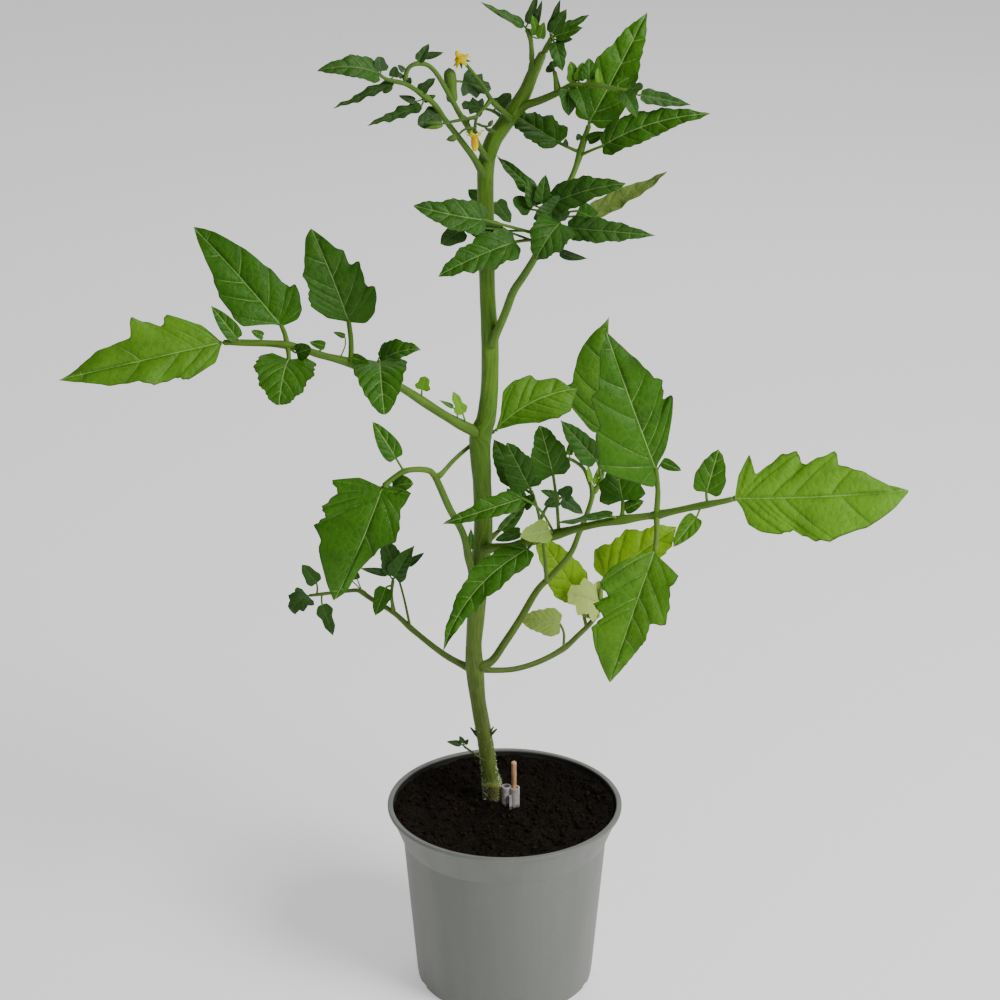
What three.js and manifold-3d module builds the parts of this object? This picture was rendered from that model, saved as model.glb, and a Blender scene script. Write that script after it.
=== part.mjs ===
// A young grafted tomato plant in a 13 cm nursery pot.
// Millimetres, +Z up, +Y away from the front, origin at the middle of the pot's underside.
import * as THREE from 'three';
import { mergeVertices } from 'three/addons/utils/BufferGeometryUtils.js';
import Module from 'manifold-3d';

const wasm = await Module();
wasm.setup();

// Driving dimensions
const POT_HEIGHT = 107;
const RIM_RADIUS = 65;
const RIM_HOLE_RADIUS = 62;
const COLLAR_FOOT_HEIGHT = 87;
const COLLAR_FOOT_RADIUS = 57;
const BASE_RADIUS = 49;
const POT_WALL = 1.5;
const POT_SIDES = 36;
const FLOOR_UNDERSIDE = 2.5;
const HUB_RADIUS = 22;
const DRAIN_HOLES = 8;
const DRAIN_RADIUS = 5;
const DRAIN_CIRCLE = 34;
const RIM_LIP = 2;
const COLLAR_STEP = 0.8;
const COLLAR_TAPER = 1.4;
const NOTCH = { long: 12, wide: 7, high: 3.6 };
const SOIL_EDGE = 103.2;
const SOIL_MIDDLE = 98.4;
const STEM_FOOT_HEIGHT = 74;
const BLADE_THICKNESS = 0.9;
const GAP = 0.3;
const STALK_SIDES = 4;
const STEM_SIDES = 8;
const STICK_RADIUS = 1.5;
const STICK_TOP = 125.7;
const CLIP_TOP = 109.5;
const CLIP_BOTTOM = 96;
const CLIP_TUBE_RADIUS = 2.8;
const CLIP_BORE_RADIUS = 1.9;
const CLIP_TUBES = [[0.9, 13.4], [5.6, 12]];
const CLIP_TAIL = { place: [3.2, 9.9], wide: 1.6, deep: 3.4, below: 4 };
const OPEN_HOLE_TOP = 120;
const PETALS = { count: 5, length: 4.6, half: 1.4, start: 0, back: 2.4, turned: 0 };
const SEPALS = { count: 5, length: 4.8, half: 0.8, start: -1.5, back: 1, turned: 0.5 };

// Small helpers for solids
const vector = (place) => new THREE.Vector3(...place);

function toSolid(geometry) {
  const bare = geometry.index ? geometry.clone() : geometry;
  bare.deleteAttribute('normal');
  bare.deleteAttribute('uv');
  const merged = mergeVertices(bare, 1e-4);
  return new wasm.Manifold(new wasm.Mesh({
    numProp: 3,
    vertProperties: new Float32Array(merged.attributes.position.array),
    triVerts: new Uint32Array(merged.index.array),
  }));
}

// The solid of a closed geometry, whichever way its faces were wound.
function facingOut(geometry) {
  const solid = toSolid(geometry);
  if (solid.volume() > 0) return solid;
  const corners = geometry.index.array;
  for (let first = 0; first < corners.length; first += 3) {
    [corners[first], corners[first + 1]] = [corners[first + 1], corners[first]];
  }
  return toSolid(geometry);
}

function toGeometry(solid) {
  const mesh = solid.getMesh();
  const geometry = new THREE.BufferGeometry();
  geometry.setAttribute('position', new THREE.BufferAttribute(mesh.vertProperties, 3));
  geometry.setIndex(new THREE.BufferAttribute(mesh.triVerts, 1));
  return geometry;
}

// A closed body through a row of rings with equal counts. The far half of each ring is split
// the other way, so that the two faces of a thin blade get the same triangles.
function loft(rings) {
  const count = rings[0].length;
  const positions = rings.flat().flatMap((point) => point.toArray());
  const faces = [];
  for (let row = 0; row < rings.length - 1; row += 1) {
    for (let side = 0; side < count; side += 1) {
      const next = (side + 1) % count;
      const a = row * count + side;
      const b = row * count + next;
      const c = (row + 1) * count + next;
      const d = (row + 1) * count + side;
      if (side < count / 2) faces.push(a, b, c, a, c, d);
      else faces.push(a, b, d, b, c, d);
    }
  }
  const last = (rings.length - 1) * count;
  for (let side = 1; side < count - 1; side += 1) {
    faces.push(0, side + 1, side);
    faces.push(last, last + side, last + side + 1);
  }
  const geometry = new THREE.BufferGeometry();
  geometry.setAttribute('position', new THREE.Float32BufferAttribute(positions, 3));
  geometry.setIndex(faces);
  return facingOut(geometry);
}

function fuse(solids) {
  return wasm.Manifold.union(solids);
}

// Only the largest body of a cut is kept: the rest is loose scrap.
function largest(solid) {
  return solid.decompose().reduce((best, piece) => (piece.volume() > best.volume() ? piece : best));
}

function rod(radius, bottom, top, x, y, sides = 14) {
  const geometry = new THREE.CylinderGeometry(radius, radius, top - bottom, sides);
  geometry.rotateX(Math.PI / 2);
  geometry.translate(x, y, (bottom + top) / 2);
  return toSolid(geometry);
}

function revolve(profile, sides) {
  const geometry = new THREE.LatheGeometry(profile.map(([r, z]) => new THREE.Vector2(r, z)), sides);
  geometry.rotateX(Math.PI / 2);
  return facingOut(geometry);
}

// A stem or leaf stalk: a smooth curve through its points, with a radius that runs from one
// end to the other, or a radius for each point.
function stalk(points, radii) {
  const curve = new THREE.CatmullRomCurve3(points.map(vector), false, 'catmullrom', 0.5);
  const spans = points.length - 1;
  return {
    spans,
    point: (place) => curve.getPoint(Math.min(1, place / spans)),
    tangent: (place) => curve.getTangent(Math.min(1, place / spans)),
    radius(place) {
      if (radii.length === 2) return THREE.MathUtils.lerp(radii[0], radii[1], place / spans);
      const from = Math.min(Math.floor(place), spans - 1);
      return THREE.MathUtils.lerp(radii[from], radii[from + 1], place - from);
    },
  };
}

function tube(line, sides = STALK_SIDES, grown = 0) {
  const rings = [];
  let across = new THREE.Vector3(0, -1, 0);
  for (let place = 0; place <= line.spans; place += 1) {
    const centre = line.point(place);
    const along = line.tangent(place);
    across = across.clone().addScaledVector(along, -across.dot(along)).normalize();
    const beside = along.clone().cross(across);
    const ring = [];
    for (let side = 0; side < sides; side += 1) {
      const turn = (2 * Math.PI * side) / sides;
      const reach = (line.radius(place) + grown) / Math.cos(Math.PI / sides) ** 0.5;
      ring.push(centre.clone()
        .addScaledVector(across, reach * Math.cos(turn))
        .addScaledVector(beside, reach * Math.sin(turn)));
    }
    rings.push(ring);
  }
  return loft(rings);
}

// Leaflets
const FACING = new THREE.Vector3(0, -0.8, 0.6);
const NECK_RADIUS = { least: 0.42, most: 1.3, plain: 0.38, perWidth: 0.024 };
const TIP_RADIUS = 0.3;
const SHALLOW_CUT = 0.12;
const BASE_LEAN = 112;
const TIP_LEAN = 42;
const TINY_WIDTH = 7;

// Rows of a plain egg-shaped leaflet with the given number of lobes a side: the place on the
// midrib, and how far out both margins lie, in mm. A notch too shallow to show has no row.
function lobedRows(wide, lobes, cut) {
  const rows = [];
  const addRow = (t, share) => {
    rows.push({ t, out: (wide / 2) * Math.sin(Math.PI * t ** 0.5) ** 0.75 * share });
  };
  for (let lobe = 0; lobe < lobes; lobe += 1) {
    addRow((lobe + 0.5) / (lobes + 0.35), 1 + cut / 3);
    if (lobe < lobes - 1 && cut > SHALLOW_CUT) addRow((lobe + 0.95) / (lobes + 0.35), 1 - cut);
  }
  if (lobes === 1 && wide > TINY_WIDTH) addRow(0.76, 0.9);
  return rows;
}

// Margins of the largest leaflets, as shares of their length: how far along, how far out.
const MARGINS = {
  endRight: {
    left: [[0.03, 0.14], [0.096, 0.245], [0.13, 0.145], [0.265, 0.245], [0.37, 0.262],
      [0.41, 0.19], [0.6, 0.245], [0.62, 0.175], [0.74, 0.13], [0.87, 0.05]],
    right: [[0.05, 0.07], [0.08, 0.155], [0.15, 0.2], [0.275, 0.216], [0.34, 0.198],
      [0.45, 0.255], [0.56, 0.262], [0.72, 0.205], [0.8, 0.18], [0.91, 0.095]],
  },
  endLeft: {
    left: [[0.07, 0.12], [0.25, 0.18], [0.31, 0.155], [0.45, 0.165], [0.53, 0.13], [0.7, 0.11],
      [0.87, 0.05]],
    right: [[0.1, 0.13], [0.29, 0.235], [0.33, 0.18], [0.5, 0.265], [0.53, 0.145], [0.72, 0.12],
      [0.87, 0.05]],
  },
  upperTall: {
    left: [[0.05, 0.04], [0.11, 0.12], [0.18, 0.225], [0.29, 0.235], [0.46, 0.212], [0.56, 0.18],
      [0.65, 0.14], [0.8, 0.085], [0.92, 0.035]],
    right: [[-0.04, 0.12], [0, 0.195], [0.09, 0.25], [0.175, 0.265], [0.19, 0.225], [0.32, 0.213],
      [0.47, 0.19], [0.7, 0.145], [0.88, 0.08]],
  },
  upperToothed: {
    left: [[0.06, 0.1], [0.12, 0.19], [0.2, 0.25], [0.29, 0.295], [0.38, 0.285], [0.45, 0.25],
      [0.6, 0.26], [0.68, 0.21], [0.8, 0.16], [0.92, 0.09]],
    right: [[-0.07, 0.15], [0, 0.27], [0.11, 0.33], [0.235, 0.34], [0.27, 0.28], [0.52, 0.295],
      [0.53, 0.21], [0.69, 0.195], [0.72, 0.145], [0.88, 0.06]],
  },
  tallCentre: {
    left: [[-0.1, 0.05], [-0.05, 0.13], [0.06, 0.265], [0.19, 0.35], [0.37, 0.3], [0.45, 0.25],
      [0.64, 0.235], [0.67, 0.17], [0.78, 0.125], [0.91, 0.075]],
    right: [[0.04, 0.03], [0.1, 0.09], [0.2, 0.16], [0.33, 0.225], [0.45, 0.265], [0.44, 0.21],
      [0.57, 0.24], [0.61, 0.195], [0.76, 0.135], [0.9, 0.06]],
  },
  tallBack: {
    left: [[0.02, 0.07], [0.15, 0.15], [0.35, 0.25], [0.46, 0.245], [0.5, 0.2], [0.66, 0.185],
      [0.82, 0.125], [0.92, 0.06]],
    right: [[0.05, 0.1], [0.15, 0.2], [0.3, 0.25], [0.45, 0.22], [0.6, 0.16], [0.75, 0.08],
      [0.85, 0.03], [0.93, 0.012]],
  },
  fanLeft: {
    left: [[0.12, 0.08], [0.18, 0.15], [0.27, 0.26], [0.46, 0.29], [0.63, 0.27], [0.66, 0.205],
      [0.85, 0.16], [0.93, 0.06]],
    right: [[0.1, 0.06], [0.24, 0.124], [0.36, 0.19], [0.45, 0.25], [0.58, 0.26], [0.68, 0.28],
      [0.83, 0.24], [0.93, 0.1]],
  },
  broadRight: {
    left: [[0.06, 0.06], [0.12, 0.21], [0.21, 0.185], [0.33, 0.22], [0.47, 0.23], [0.5, 0.14],
      [0.63, 0.14], [0.83, 0.07]],
    right: [[0.1, 0.12], [0.2, 0.235], [0.34, 0.27], [0.4, 0.2], [0.5, 0.27], [0.56, 0.185],
      [0.67, 0.23], [0.83, 0.135]],
  },
  broadLeft: {
    left: [[-0.06, 0.12], [-0.05, 0.23], [0.1, 0.2], [0.22, 0.24], [0.35, 0.245], [0.44, 0.16],
      [0.53, 0.13], [0.68, 0.07], [0.88, 0.05]],
    right: [[0, 0.2], [0.11, 0.39], [0.17, 0.32], [0.33, 0.39], [0.38, 0.34], [0.49, 0.395],
      [0.58, 0.3], [0.7, 0.27], [0.88, 0.12]],
  },
};

// One leaflet with its own short stalk, rooted on the middle line of the stalk that bears it.
// bow lifts the middle of the midrib, side bends it to its right, fold raises both halves
// and turn rolls the blade about its length.
function leaflet(line, place, base, tip, wide, shape = {}) {
  const { bow = 0, side = 0, fold = 6, turn = 0, lobes = 1, cut = 0.1, margin = null } = shape;
  const start = vector(base);
  const end = vector(tip);
  const along = end.clone().sub(start);
  const length = along.length();
  along.normalize();
  const facing = FACING.clone().addScaledVector(along, -FACING.dot(along)).normalize();
  facing.applyAxisAngle(along, THREE.MathUtils.degToRad(turn));
  const rightward = along.clone().cross(facing);
  const handle = start.clone().add(end).multiplyScalar(0.5)
    .addScaledVector(facing, 2 * bow)
    .addScaledVector(rightward, 2 * side);
  const midrib = new THREE.QuadraticBezierCurve3(start, handle, end);
  const lift = Math.tan(THREE.MathUtils.degToRad(fold));
  const neck = THREE.MathUtils.clamp(
    NECK_RADIUS.plain + NECK_RADIUS.perWidth * wide, NECK_RADIUS.least, NECK_RADIUS.most,
  );

  const section = (left, middle, right, thickness) => {
    const up = facing.clone().multiplyScalar(thickness / 2);
    const crossing = wide > TINY_WIDTH ? [left, middle, right] : [left, right];
    const over = crossing.map((point) => point.clone().add(up));
    const under = crossing.map((point) => point.clone().sub(up));
    return [...over, ...under.reverse()];
  };
  const narrow = (centre, half, thickness) => section(
    centre.clone().addScaledVector(rightward, -half),
    centre,
    centre.clone().addScaledVector(rightward, half),
    thickness,
  );

  const rings = [
    narrow(line.point(place), neck, 2 * neck),
    narrow(start, neck, 2 * neck),
  ];
  if (margin) {
    const { left, right } = MARGINS[margin];
    left.forEach(([leftAlong, leftOut], row) => {
      const [rightAlong, rightOut] = right[row];
      const t = Math.max(0.02 * (row + 1), (leftAlong + rightAlong) / 2 - 0.3 * (leftOut + rightOut));
      const middle = midrib.getPoint(t);
      const edge = (share, out, sign) => {
        const carrier = share < 0 ? start.clone() : midrib.getPoint(share);
        return carrier
          .addScaledVector(along, share < 0 ? share * length : 0)
          .addScaledVector(rightward, sign * out * length)
          .addScaledVector(facing, lift * out * length);
      };
      rings.push(section(edge(leftAlong, leftOut, -1), middle, edge(rightAlong, rightOut, 1),
        BLADE_THICKNESS));
    });
  } else {
    lobedRows(wide, lobes, cut).forEach(({ t, out }) => {
      const middle = midrib.getPoint(t);
      const lean = THREE.MathUtils.degToRad(THREE.MathUtils.lerp(BASE_LEAN, TIP_LEAN, t ** 0.8));
      const edge = (sign) => middle.clone()
        .addScaledVector(midrib.getTangent(t), out * Math.cos(lean))
        .addScaledVector(rightward, sign * out * Math.sin(lean))
        .addScaledVector(facing, lift * out);
      rings.push(section(edge(-1), middle, edge(1), BLADE_THICKNESS));
    });
  }
  rings.push(narrow(end, TIP_RADIUS, BLADE_THICKNESS * 0.8));
  return loft(rings);
}

// Pot, soil and what stands in the soil
function makePot() {
  const lipFoot = POT_HEIGHT - RIM_LIP;
  const collarTop = lipFoot - COLLAR_STEP;
  const collarStart = COLLAR_FOOT_HEIGHT + COLLAR_STEP;
  const body = revolve([
    [0, 0], [HUB_RADIUS, 0], [HUB_RADIUS + 1, FLOOR_UNDERSIDE],
    [BASE_RADIUS - 4, FLOOR_UNDERSIDE], [BASE_RADIUS - 3, 0], [BASE_RADIUS, 0],
    [COLLAR_FOOT_RADIUS - 0.5, COLLAR_FOOT_HEIGHT], [COLLAR_FOOT_RADIUS, collarStart],
    [RIM_RADIUS - COLLAR_TAPER, collarTop], [RIM_RADIUS, lipFoot],
    [RIM_RADIUS, POT_HEIGHT], [RIM_HOLE_RADIUS, POT_HEIGHT],
    [RIM_HOLE_RADIUS, collarTop],
    [COLLAR_FOOT_RADIUS - POT_WALL, collarStart],
    [COLLAR_FOOT_RADIUS - 0.5 - POT_WALL, COLLAR_FOOT_HEIGHT],
    [BASE_RADIUS - POT_WALL + 0.4, FLOOR_UNDERSIDE + POT_WALL], [0, FLOOR_UNDERSIDE + POT_WALL],
  ], POT_SIDES);
  const cuts = [];
  for (let hole = 0; hole < DRAIN_HOLES; hole += 1) {
    const turn = (2 * Math.PI * hole) / DRAIN_HOLES;
    cuts.push(rod(DRAIN_RADIUS, -1, FLOOR_UNDERSIDE + POT_WALL + 1,
      DRAIN_CIRCLE * Math.cos(turn), DRAIN_CIRCLE * Math.sin(turn), 8));
    const notch = new THREE.BoxGeometry(NOTCH.long, NOTCH.wide, NOTCH.high);
    notch.translate(BASE_RADIUS - 2, 0, 0);
    notch.rotateZ(turn + Math.PI / DRAIN_HOLES);
    cuts.push(toSolid(notch));
  }
  return largest(body.subtract(fuse(cuts)));
}

// Stem centre line with its radius at each point: it swells at the graft and at each node.
const STEM_POINTS = [
  [-7, 17, STEM_FOOT_HEIGHT, 4.8], [-7, 16.5, 97, 5.2], [-7, 16, 107, 5], [-7.3, 16, 111, 5.1],
  [-8.2, 16, 115, 4.6], [-11, 14.3, 138, 4.4], [-14.8, 13, 163, 4.3], [-16.5, 11, 184, 5.1],
  [-16.8, 10, 198, 4.4], [-15.5, 8.5, 217, 4.9], [-13, 7, 250, 5.1], [-11.4, 6, 270, 5],
  [-12, 5.3, 295, 4.8], [-13, 4, 320, 5.8], [-10, 3, 332, 5], [-8, 1.6, 352, 4.4],
  [-7.8, 0.6, 378, 4.5], [-9, 0, 402, 4], [-9.6, 0, 432, 4.2], [-10, 0, 457, 4.3],
  [-9.5, 0, 470, 4.3], [-6, 0, 481, 4.3], [-1.5, 0, 488, 4.2], [4.4, 0, 496.5, 4.2],
  [10, 0, 506, 3.5], [13.5, -0.8, 515, 3], [16.5, -2, 521.5, 2.5], [19, -3, 527, 2],
];
const stemLine = stalk(STEM_POINTS.map(([x, y, z]) => [x, y, z]), STEM_POINTS.map((row) => row[3]));

function makeClip() {
  const tubes = CLIP_TUBES.map(([x, y]) => rod(CLIP_TUBE_RADIUS, CLIP_BOTTOM, CLIP_TOP, x, y));
  const bores = CLIP_TUBES.map(([x, y]) => rod(CLIP_BORE_RADIUS, CLIP_BOTTOM - 1, CLIP_TOP + 1, x, y));
  const tailTop = CLIP_TOP - CLIP_TAIL.below;
  const tail = new THREE.BoxGeometry(CLIP_TAIL.wide, CLIP_TAIL.deep, tailTop - CLIP_BOTTOM);
  tail.translate(...CLIP_TAIL.place, (tailTop + CLIP_BOTTOM) / 2);
  return fuse([...tubes, toSolid(tail)]).subtract(fuse(bores));
}

function makeStick() {
  const [x, y] = CLIP_TUBES[1];
  return rod(STICK_RADIUS, STEM_FOOT_HEIGHT, STICK_TOP, x, y, 12);
}

// The surface is dished: it meets the wall high up and lies lower around stem and clip.
function makeSoil(grownStem) {
  const wallGap = GAP + 0.1;
  const foot = FLOOR_UNDERSIDE + POT_WALL + GAP;
  const collarStart = COLLAR_FOOT_HEIGHT + COLLAR_STEP;
  const collarTop = POT_HEIGHT - RIM_LIP - COLLAR_STEP;
  const innerFoot = COLLAR_FOOT_RADIUS - POT_WALL;
  const shoulder = SOIL_EDGE - 0.6;
  const edgeRadius = THREE.MathUtils.mapLinear(
    shoulder, collarStart, collarTop, innerFoot, RIM_HOLE_RADIUS,
  ) - wallGap;
  const body = revolve([
    [0, foot], [BASE_RADIUS - POT_WALL, foot],
    [innerFoot - 0.5 - wallGap, COLLAR_FOOT_HEIGHT], [innerFoot - wallGap, collarStart],
    [edgeRadius, shoulder], [edgeRadius * 0.95, SOIL_EDGE],
    [edgeRadius * 0.75, (SOIL_EDGE + SOIL_MIDDLE) / 2], [edgeRadius * 0.45, SOIL_MIDDLE + 0.4],
    [0, SOIL_MIDDLE],
  ], POT_SIDES);
  const [stickX, stickY] = CLIP_TUBES[1];
  const clipFoot = CLIP_BOTTOM - GAP;
  const clipHoles = CLIP_TUBES.map(([x, y]) => rod(
    CLIP_TUBE_RADIUS + GAP, clipFoot, OPEN_HOLE_TOP, x, y,
  ));
  const tailHole = new THREE.BoxGeometry(
    CLIP_TAIL.wide + 2 * GAP, CLIP_TAIL.deep + 2 * GAP, OPEN_HOLE_TOP - clipFoot,
  );
  tailHole.translate(...CLIP_TAIL.place, (OPEN_HOLE_TOP + clipFoot) / 2);
  const stickHole = rod(STICK_RADIUS + GAP, STEM_FOOT_HEIGHT - GAP, OPEN_HOLE_TOP, stickX, stickY, 12);
  return largest(body.subtract(fuse([grownStem, ...clipHoles, toSolid(tailHole), stickHole])));
}

// Fronds. Each has its stalks first, then its leaflets as
// [stalk number, place on it, base, tip, width, shape].
const UPPER_LEFT = {
  stalks: [
    [[[-13, 2, 324], [-21, -1, 329], [-33, -6, 338], [-53, -12, 354], [-66, -14, 361],
      [-79, -16, 369], [-94, -18, 374], [-111, -20, 380], [-135, -22, 382], [-144, -22, 382]],
    [2.7, 1.4]],
  ],
  leaflets: [
    [0, 9, [-144, -22, 382], [-226, -34, 366], 36, { margin: 'endLeft', bow: 3, side: -1, fold: 8 }],
    [0, 7, [-114, -14, 388], [-159, 4, 435], 34, { margin: 'upperTall', bow: 2, side: 0.5, fold: 12 }],
    [0, 5, [-80, -10, 389], [-99, 6, 434], 35,
      { margin: 'upperToothed', bow: 2, side: 0.5, fold: 10 }],
    [0, 8, [-136, -22, 384], [-149, -20, 401], 9, { fold: 20 }],
    [0, 7.6, [-123, -21, 385], [-129, -21, 388], 4.5],
    [0, 7, [-110, -25, 374], [-114, -44, 356], 31, { bow: 7, fold: 4, lobes: 4, cut: 0.08 }],
    [0, 7, [-106, -24, 377], [-98, -28, 381], 9, { turn: 20 }],
    [0, 6.2, [-92, -16, 378], [-100, -15, 380], 5],
    [0, 5.4, [-82, -12, 382], [-88, -11, 384], 3],
    [0, 5, [-78, -20, 373], [-69, -24, 372], 6, { turn: 30 }],
    [0, 4.1, [-64, -13, 372], [-55, -10, 378], 5],
    [0, 4.2, [-64, -20, 371], [-61, -44, 351], 27, { bow: 7, fold: 14, lobes: 2, cut: 0.06 }],
    [0, 3.8, [-64, -14, 369], [-43, -18, 377], 15, { lobes: 3, fold: 24, turn: -20, bow: 3 }],
    [0, 2.5, [-43, -9, 352], [-41, -8, 359], 8, { lobes: 2, cut: 0.2 }],
    [0, 0.9, [-22, -4, 337], [-27, -6, 350], 7, { lobes: 2, cut: 0.3 }],
    [0, 1.3, [-27, -5, 341], [-34, -8, 346], 2.6],
  ],
};

const MIDDLE_LEFT = {
  stalks: [
    [[[-16, 4, 239], [-19, -1, 253], [-22, -6, 270], [-29, -14, 288], [-34, -20, 303],
      [-37, -24, 311], [-40, -26, 314], [-46, -30, 316], [-52, -33, 316], [-58, -36, 313],
      [-63, -38, 309]], [2.3, 1.3]],
    [[[-36, -23, 309], [-33, -18, 309], [-27, -4, 311], [-20, 9, 313], [-12, 14, 317],
      [-5, 12, 322]], [1.4, 1]],
  ],
  leaflets: [
    [0, 10, [-63, -38, 309], [-88, -52, 252], 46, { margin: 'broadLeft', bow: 5, side: -2 }],
    [0, 9.6, [-58, -35, 308], [-47, -38, 311], 12, { turn: -20, bow: 1 }],
    [0, 8, [-56, -30, 322], [-68, -24, 340], 11, { fold: 16, bow: 1 }],
    [1, 5, [-5, 12, 322], [38, 24, 341], 29, { margin: 'fanLeft', bow: 2, fold: 8, side: -4 }],
    [0, 1.2, [-18, -3, 260], [-18, -5, 273], 4.5],
  ],
};

const LOWER_LEFT = {
  stalks: [
    [[[-17, 12, 183], [-22, 13, 184], [-34, 16, 190], [-50, 22, 201], [-61, 26, 210],
      [-74, 30, 217], [-80, 31, 221], [-87, 33, 220], [-100, 36, 217], [-109, 38, 215]], [2, 0.8]],
    [[[-61, 26, 210], [-62, 24.5, 221], [-61, 24.5, 231]], [1, 0.7]],
  ],
  leaflets: [
    [0, 9, [-109, 38, 215], [-118, 34, 207], 15, { lobes: 3, cut: 0.2, turn: 15, bow: 3 }],
    [0, 8.4, [-104, 39, 222], [-112, 42, 232], 9, { lobes: 2, cut: 0.12 }],
    [0, 8.1, [-101, 35, 211], [-95, 31, 194], 9, { lobes: 2, cut: 0.25 }],
    [0, 5.6, [-84, 31, 227], [-88, 32, 229], 4],
    [0, 5.7, [-81, 31, 228], [-83, 32, 234], 4],
    [1, 2, [-60, 24, 232], [-49, 19, 253], 12, { lobes: 2, fold: 22, bow: 2 }],
    [0, 3.15, [-59, 26.5, 234], [-66, 28, 253], 14, { lobes: 2, fold: 16 }],
    [1, 1.9, [-64, 24.5, 234], [-79, 23, 238], 4.5],
    [1, 2, [-53, 25, 239], [-44, 28, 245], 4.5],
    [1, 1.6, [-65, 24, 226], [-71, 20, 211], 10, { lobes: 2, fold: 16 }],
  ],
};

const LOWER_BACK = {
  stalks: [
    [[[-15, 14, 182], [-7, 20, 178], [6, 28, 175], [20, 36, 176], [33, 44, 180], [41, 48, 186],
      [49, 52, 193], [54, 54, 202]], [1.8, 1.4]],
  ],
  leaflets: [
    [0, 4, [31, 46, 194], [9.5, 50, 194.5], 16, { lobes: 2, cut: 0.08, turn: 180, bow: -3, fold: -10 }],
    [0, 7, [53, 54, 204], [35, 50, 211], 23, { lobes: 3, cut: 0.25, turn: 180, bow: -3 }],
    [0, 6.4, [53, 54, 199], [41, 50, 200], 10, { turn: 180 }],
  ],
};
const YELLOW_LEAFLETS = [
  [0, 5.6, [40.5, 60, 206], [17, 61, 243], 22, { lobes: 2, cut: 0.05, bow: 3, fold: 8 }],
  [0, 7, [56, 56.5, 217], [96, 62, 246], 32, { lobes: 3, cut: 0.16, bow: 4, fold: 8 }],
];

const RIGHT_FRONT = {
  stalks: [
    [[[-11, 2, 258], [-5, -5, 262], [3, -11, 265], [13, -16, 270], [32, -24, 279], [49, -30, 286],
      [70, -36, 292], [78, -38, 294], [95, -43, 300], [111, -47, 305], [117, -48, 307]], [2.6, 1.5]],
  ],
  leaflets: [
    [0, 10, [117, -48, 307], [203, -62, 317], 50, { margin: 'endRight', bow: 3, side: 2 }],
    [0, 8.5, [103, -42, 308], [109, -38, 330], 16, { fold: 12 }],
    [0, 8.3, [98, -46, 296], [86, -52, 282], 10, { fold: 12 }],
    [0, 7, [77, -50, 280], [54, -66, 212], 43, { margin: 'broadRight', bow: 5, fold: 10 }],
    [0, 7, [77, -41, 320], [51, -30, 390], 44, { margin: 'tallCentre', bow: 4, fold: 8, side: -1 }],
    [0, 7.1, [80, -40, 324], [90, -42, 320], 6, { turn: 30 }],
    [0, 3.8, [25, -20, 309], [18, -16, 335], 20, { lobes: 3, cut: 0.08, fold: 14, bow: 2 }],
    [0, 3.7, [9, -30, 300], [-32, -36, 288], 13, { lobes: 3, turn: 10, fold: 18, bow: 2, side: -1 }],
    [0, 3.2, [12, -26, 270], [-32.5, -40, 218], 18, { lobes: 4, fold: 12, bow: 3, side: 6.5 }],
    [0, 2.6, [8, -17, 275], [-5, -16, 271], 11, { turn: 40 }],
    [0, 3.6, [23, -30, 282], [8, -36, 281], 12.5, { lobes: 2, turn: 180, fold: -10 }],
    [0, 5.4, [55, -36, 292.5], [27, -33, 287.5], 15, { lobes: 2, turn: 60, fold: 8 }],
    [0, 5.5, [61, -28, 298], [58, -20, 313], 24, { lobes: 3, cut: 0.12, fold: 10 }],
    [0, 5.6, [62, -28, 293], [72, -26, 297], 7],
  ],
};

const RIGHT_RISING = {
  stalks: [
    [[[-15, 8, 185], [-7, 11, 188], [0, 15, 197], [8, 20, 208], [17.5, 26, 223], [26, 30, 231],
      [36, 36, 241], [41, 40, 252], [45, 42, 262], [48, 44, 273], [46, 44, 281], [43, 44, 288],
      [38, 42, 293], [33, 40, 296]], [2.4, 0.8]],
    [[[48, 44, 273], [52, 46, 279], [54, 47, 288], [53, 46, 300], [53, 45, 308]], [1.3, 0.9]],
    [[[23, 28, 226], [22, 25, 241], [20, 20, 259], [18, 17, 273], [14, 13, 288]], [1.1, 0.8]],
    [[[19, 18, 268], [23, 19, 276], [30, 21, 280]], [0.8, 0.7]],
  ],
  leaflets: [
    [1, 4, [53, 45, 308], [55, 34, 378], 34, { margin: 'tallBack', bow: 5, fold: 8, side: -3 }],
    [1, 1.2, [50, 43, 293], [30, 39, 318], 14, { lobes: 2, cut: 0.06, fold: 20, turn: -20 }],
    [2, 4, [13, 13, 289], [1, 9, 316], 19, { lobes: 3, cut: 0.07, fold: 14, turn: -10 }],
    [2, 3.8, [6, 17, 291], [-6, 20, 314], 15, { lobes: 2, cut: 0.06, fold: 12 }],
    [3, 2, [29, 21.2, 280.4], [19, 22, 284], 5],
    [3, 2, [30.6, 21, 280.4], [36, 22, 286], 8, { lobes: 2 }],
    [3, 2, [29, 20, 279], [21, 18, 277], 7],
    [3, 2, [31, 20, 280], [42, 18, 272], 8, { lobes: 2, cut: 0.15 }],
    [0, 9.2, [49, 46, 278], [52, 48, 289], 3],
    [0, 9.1, [47, 42, 281], [45, 41, 292], 3],
    [0, 12.4, [35, 41, 297], [36, 41, 306], 4],
  ],
};

const CENTRE_SMALL = {
  stalks: [
    [[[-10, 4, 261], [-5, 9, 264], [1, 11, 269], [9, 12, 278]], [1.3, 0.8]],
  ],
  leaflets: [
    [0, 0.9, [-2, 9, 266], [11, 6, 283], 9, { turn: 50, fold: 24 }],
    [0, 3, [8, 12, 278], [1, 12, 289], 8],
    [0, 3, [9, 12, 279], [6, 13, 292], 8],
    [0, 3, [10, 11, 279], [16, 8, 287], 7],
  ],
};

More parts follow.
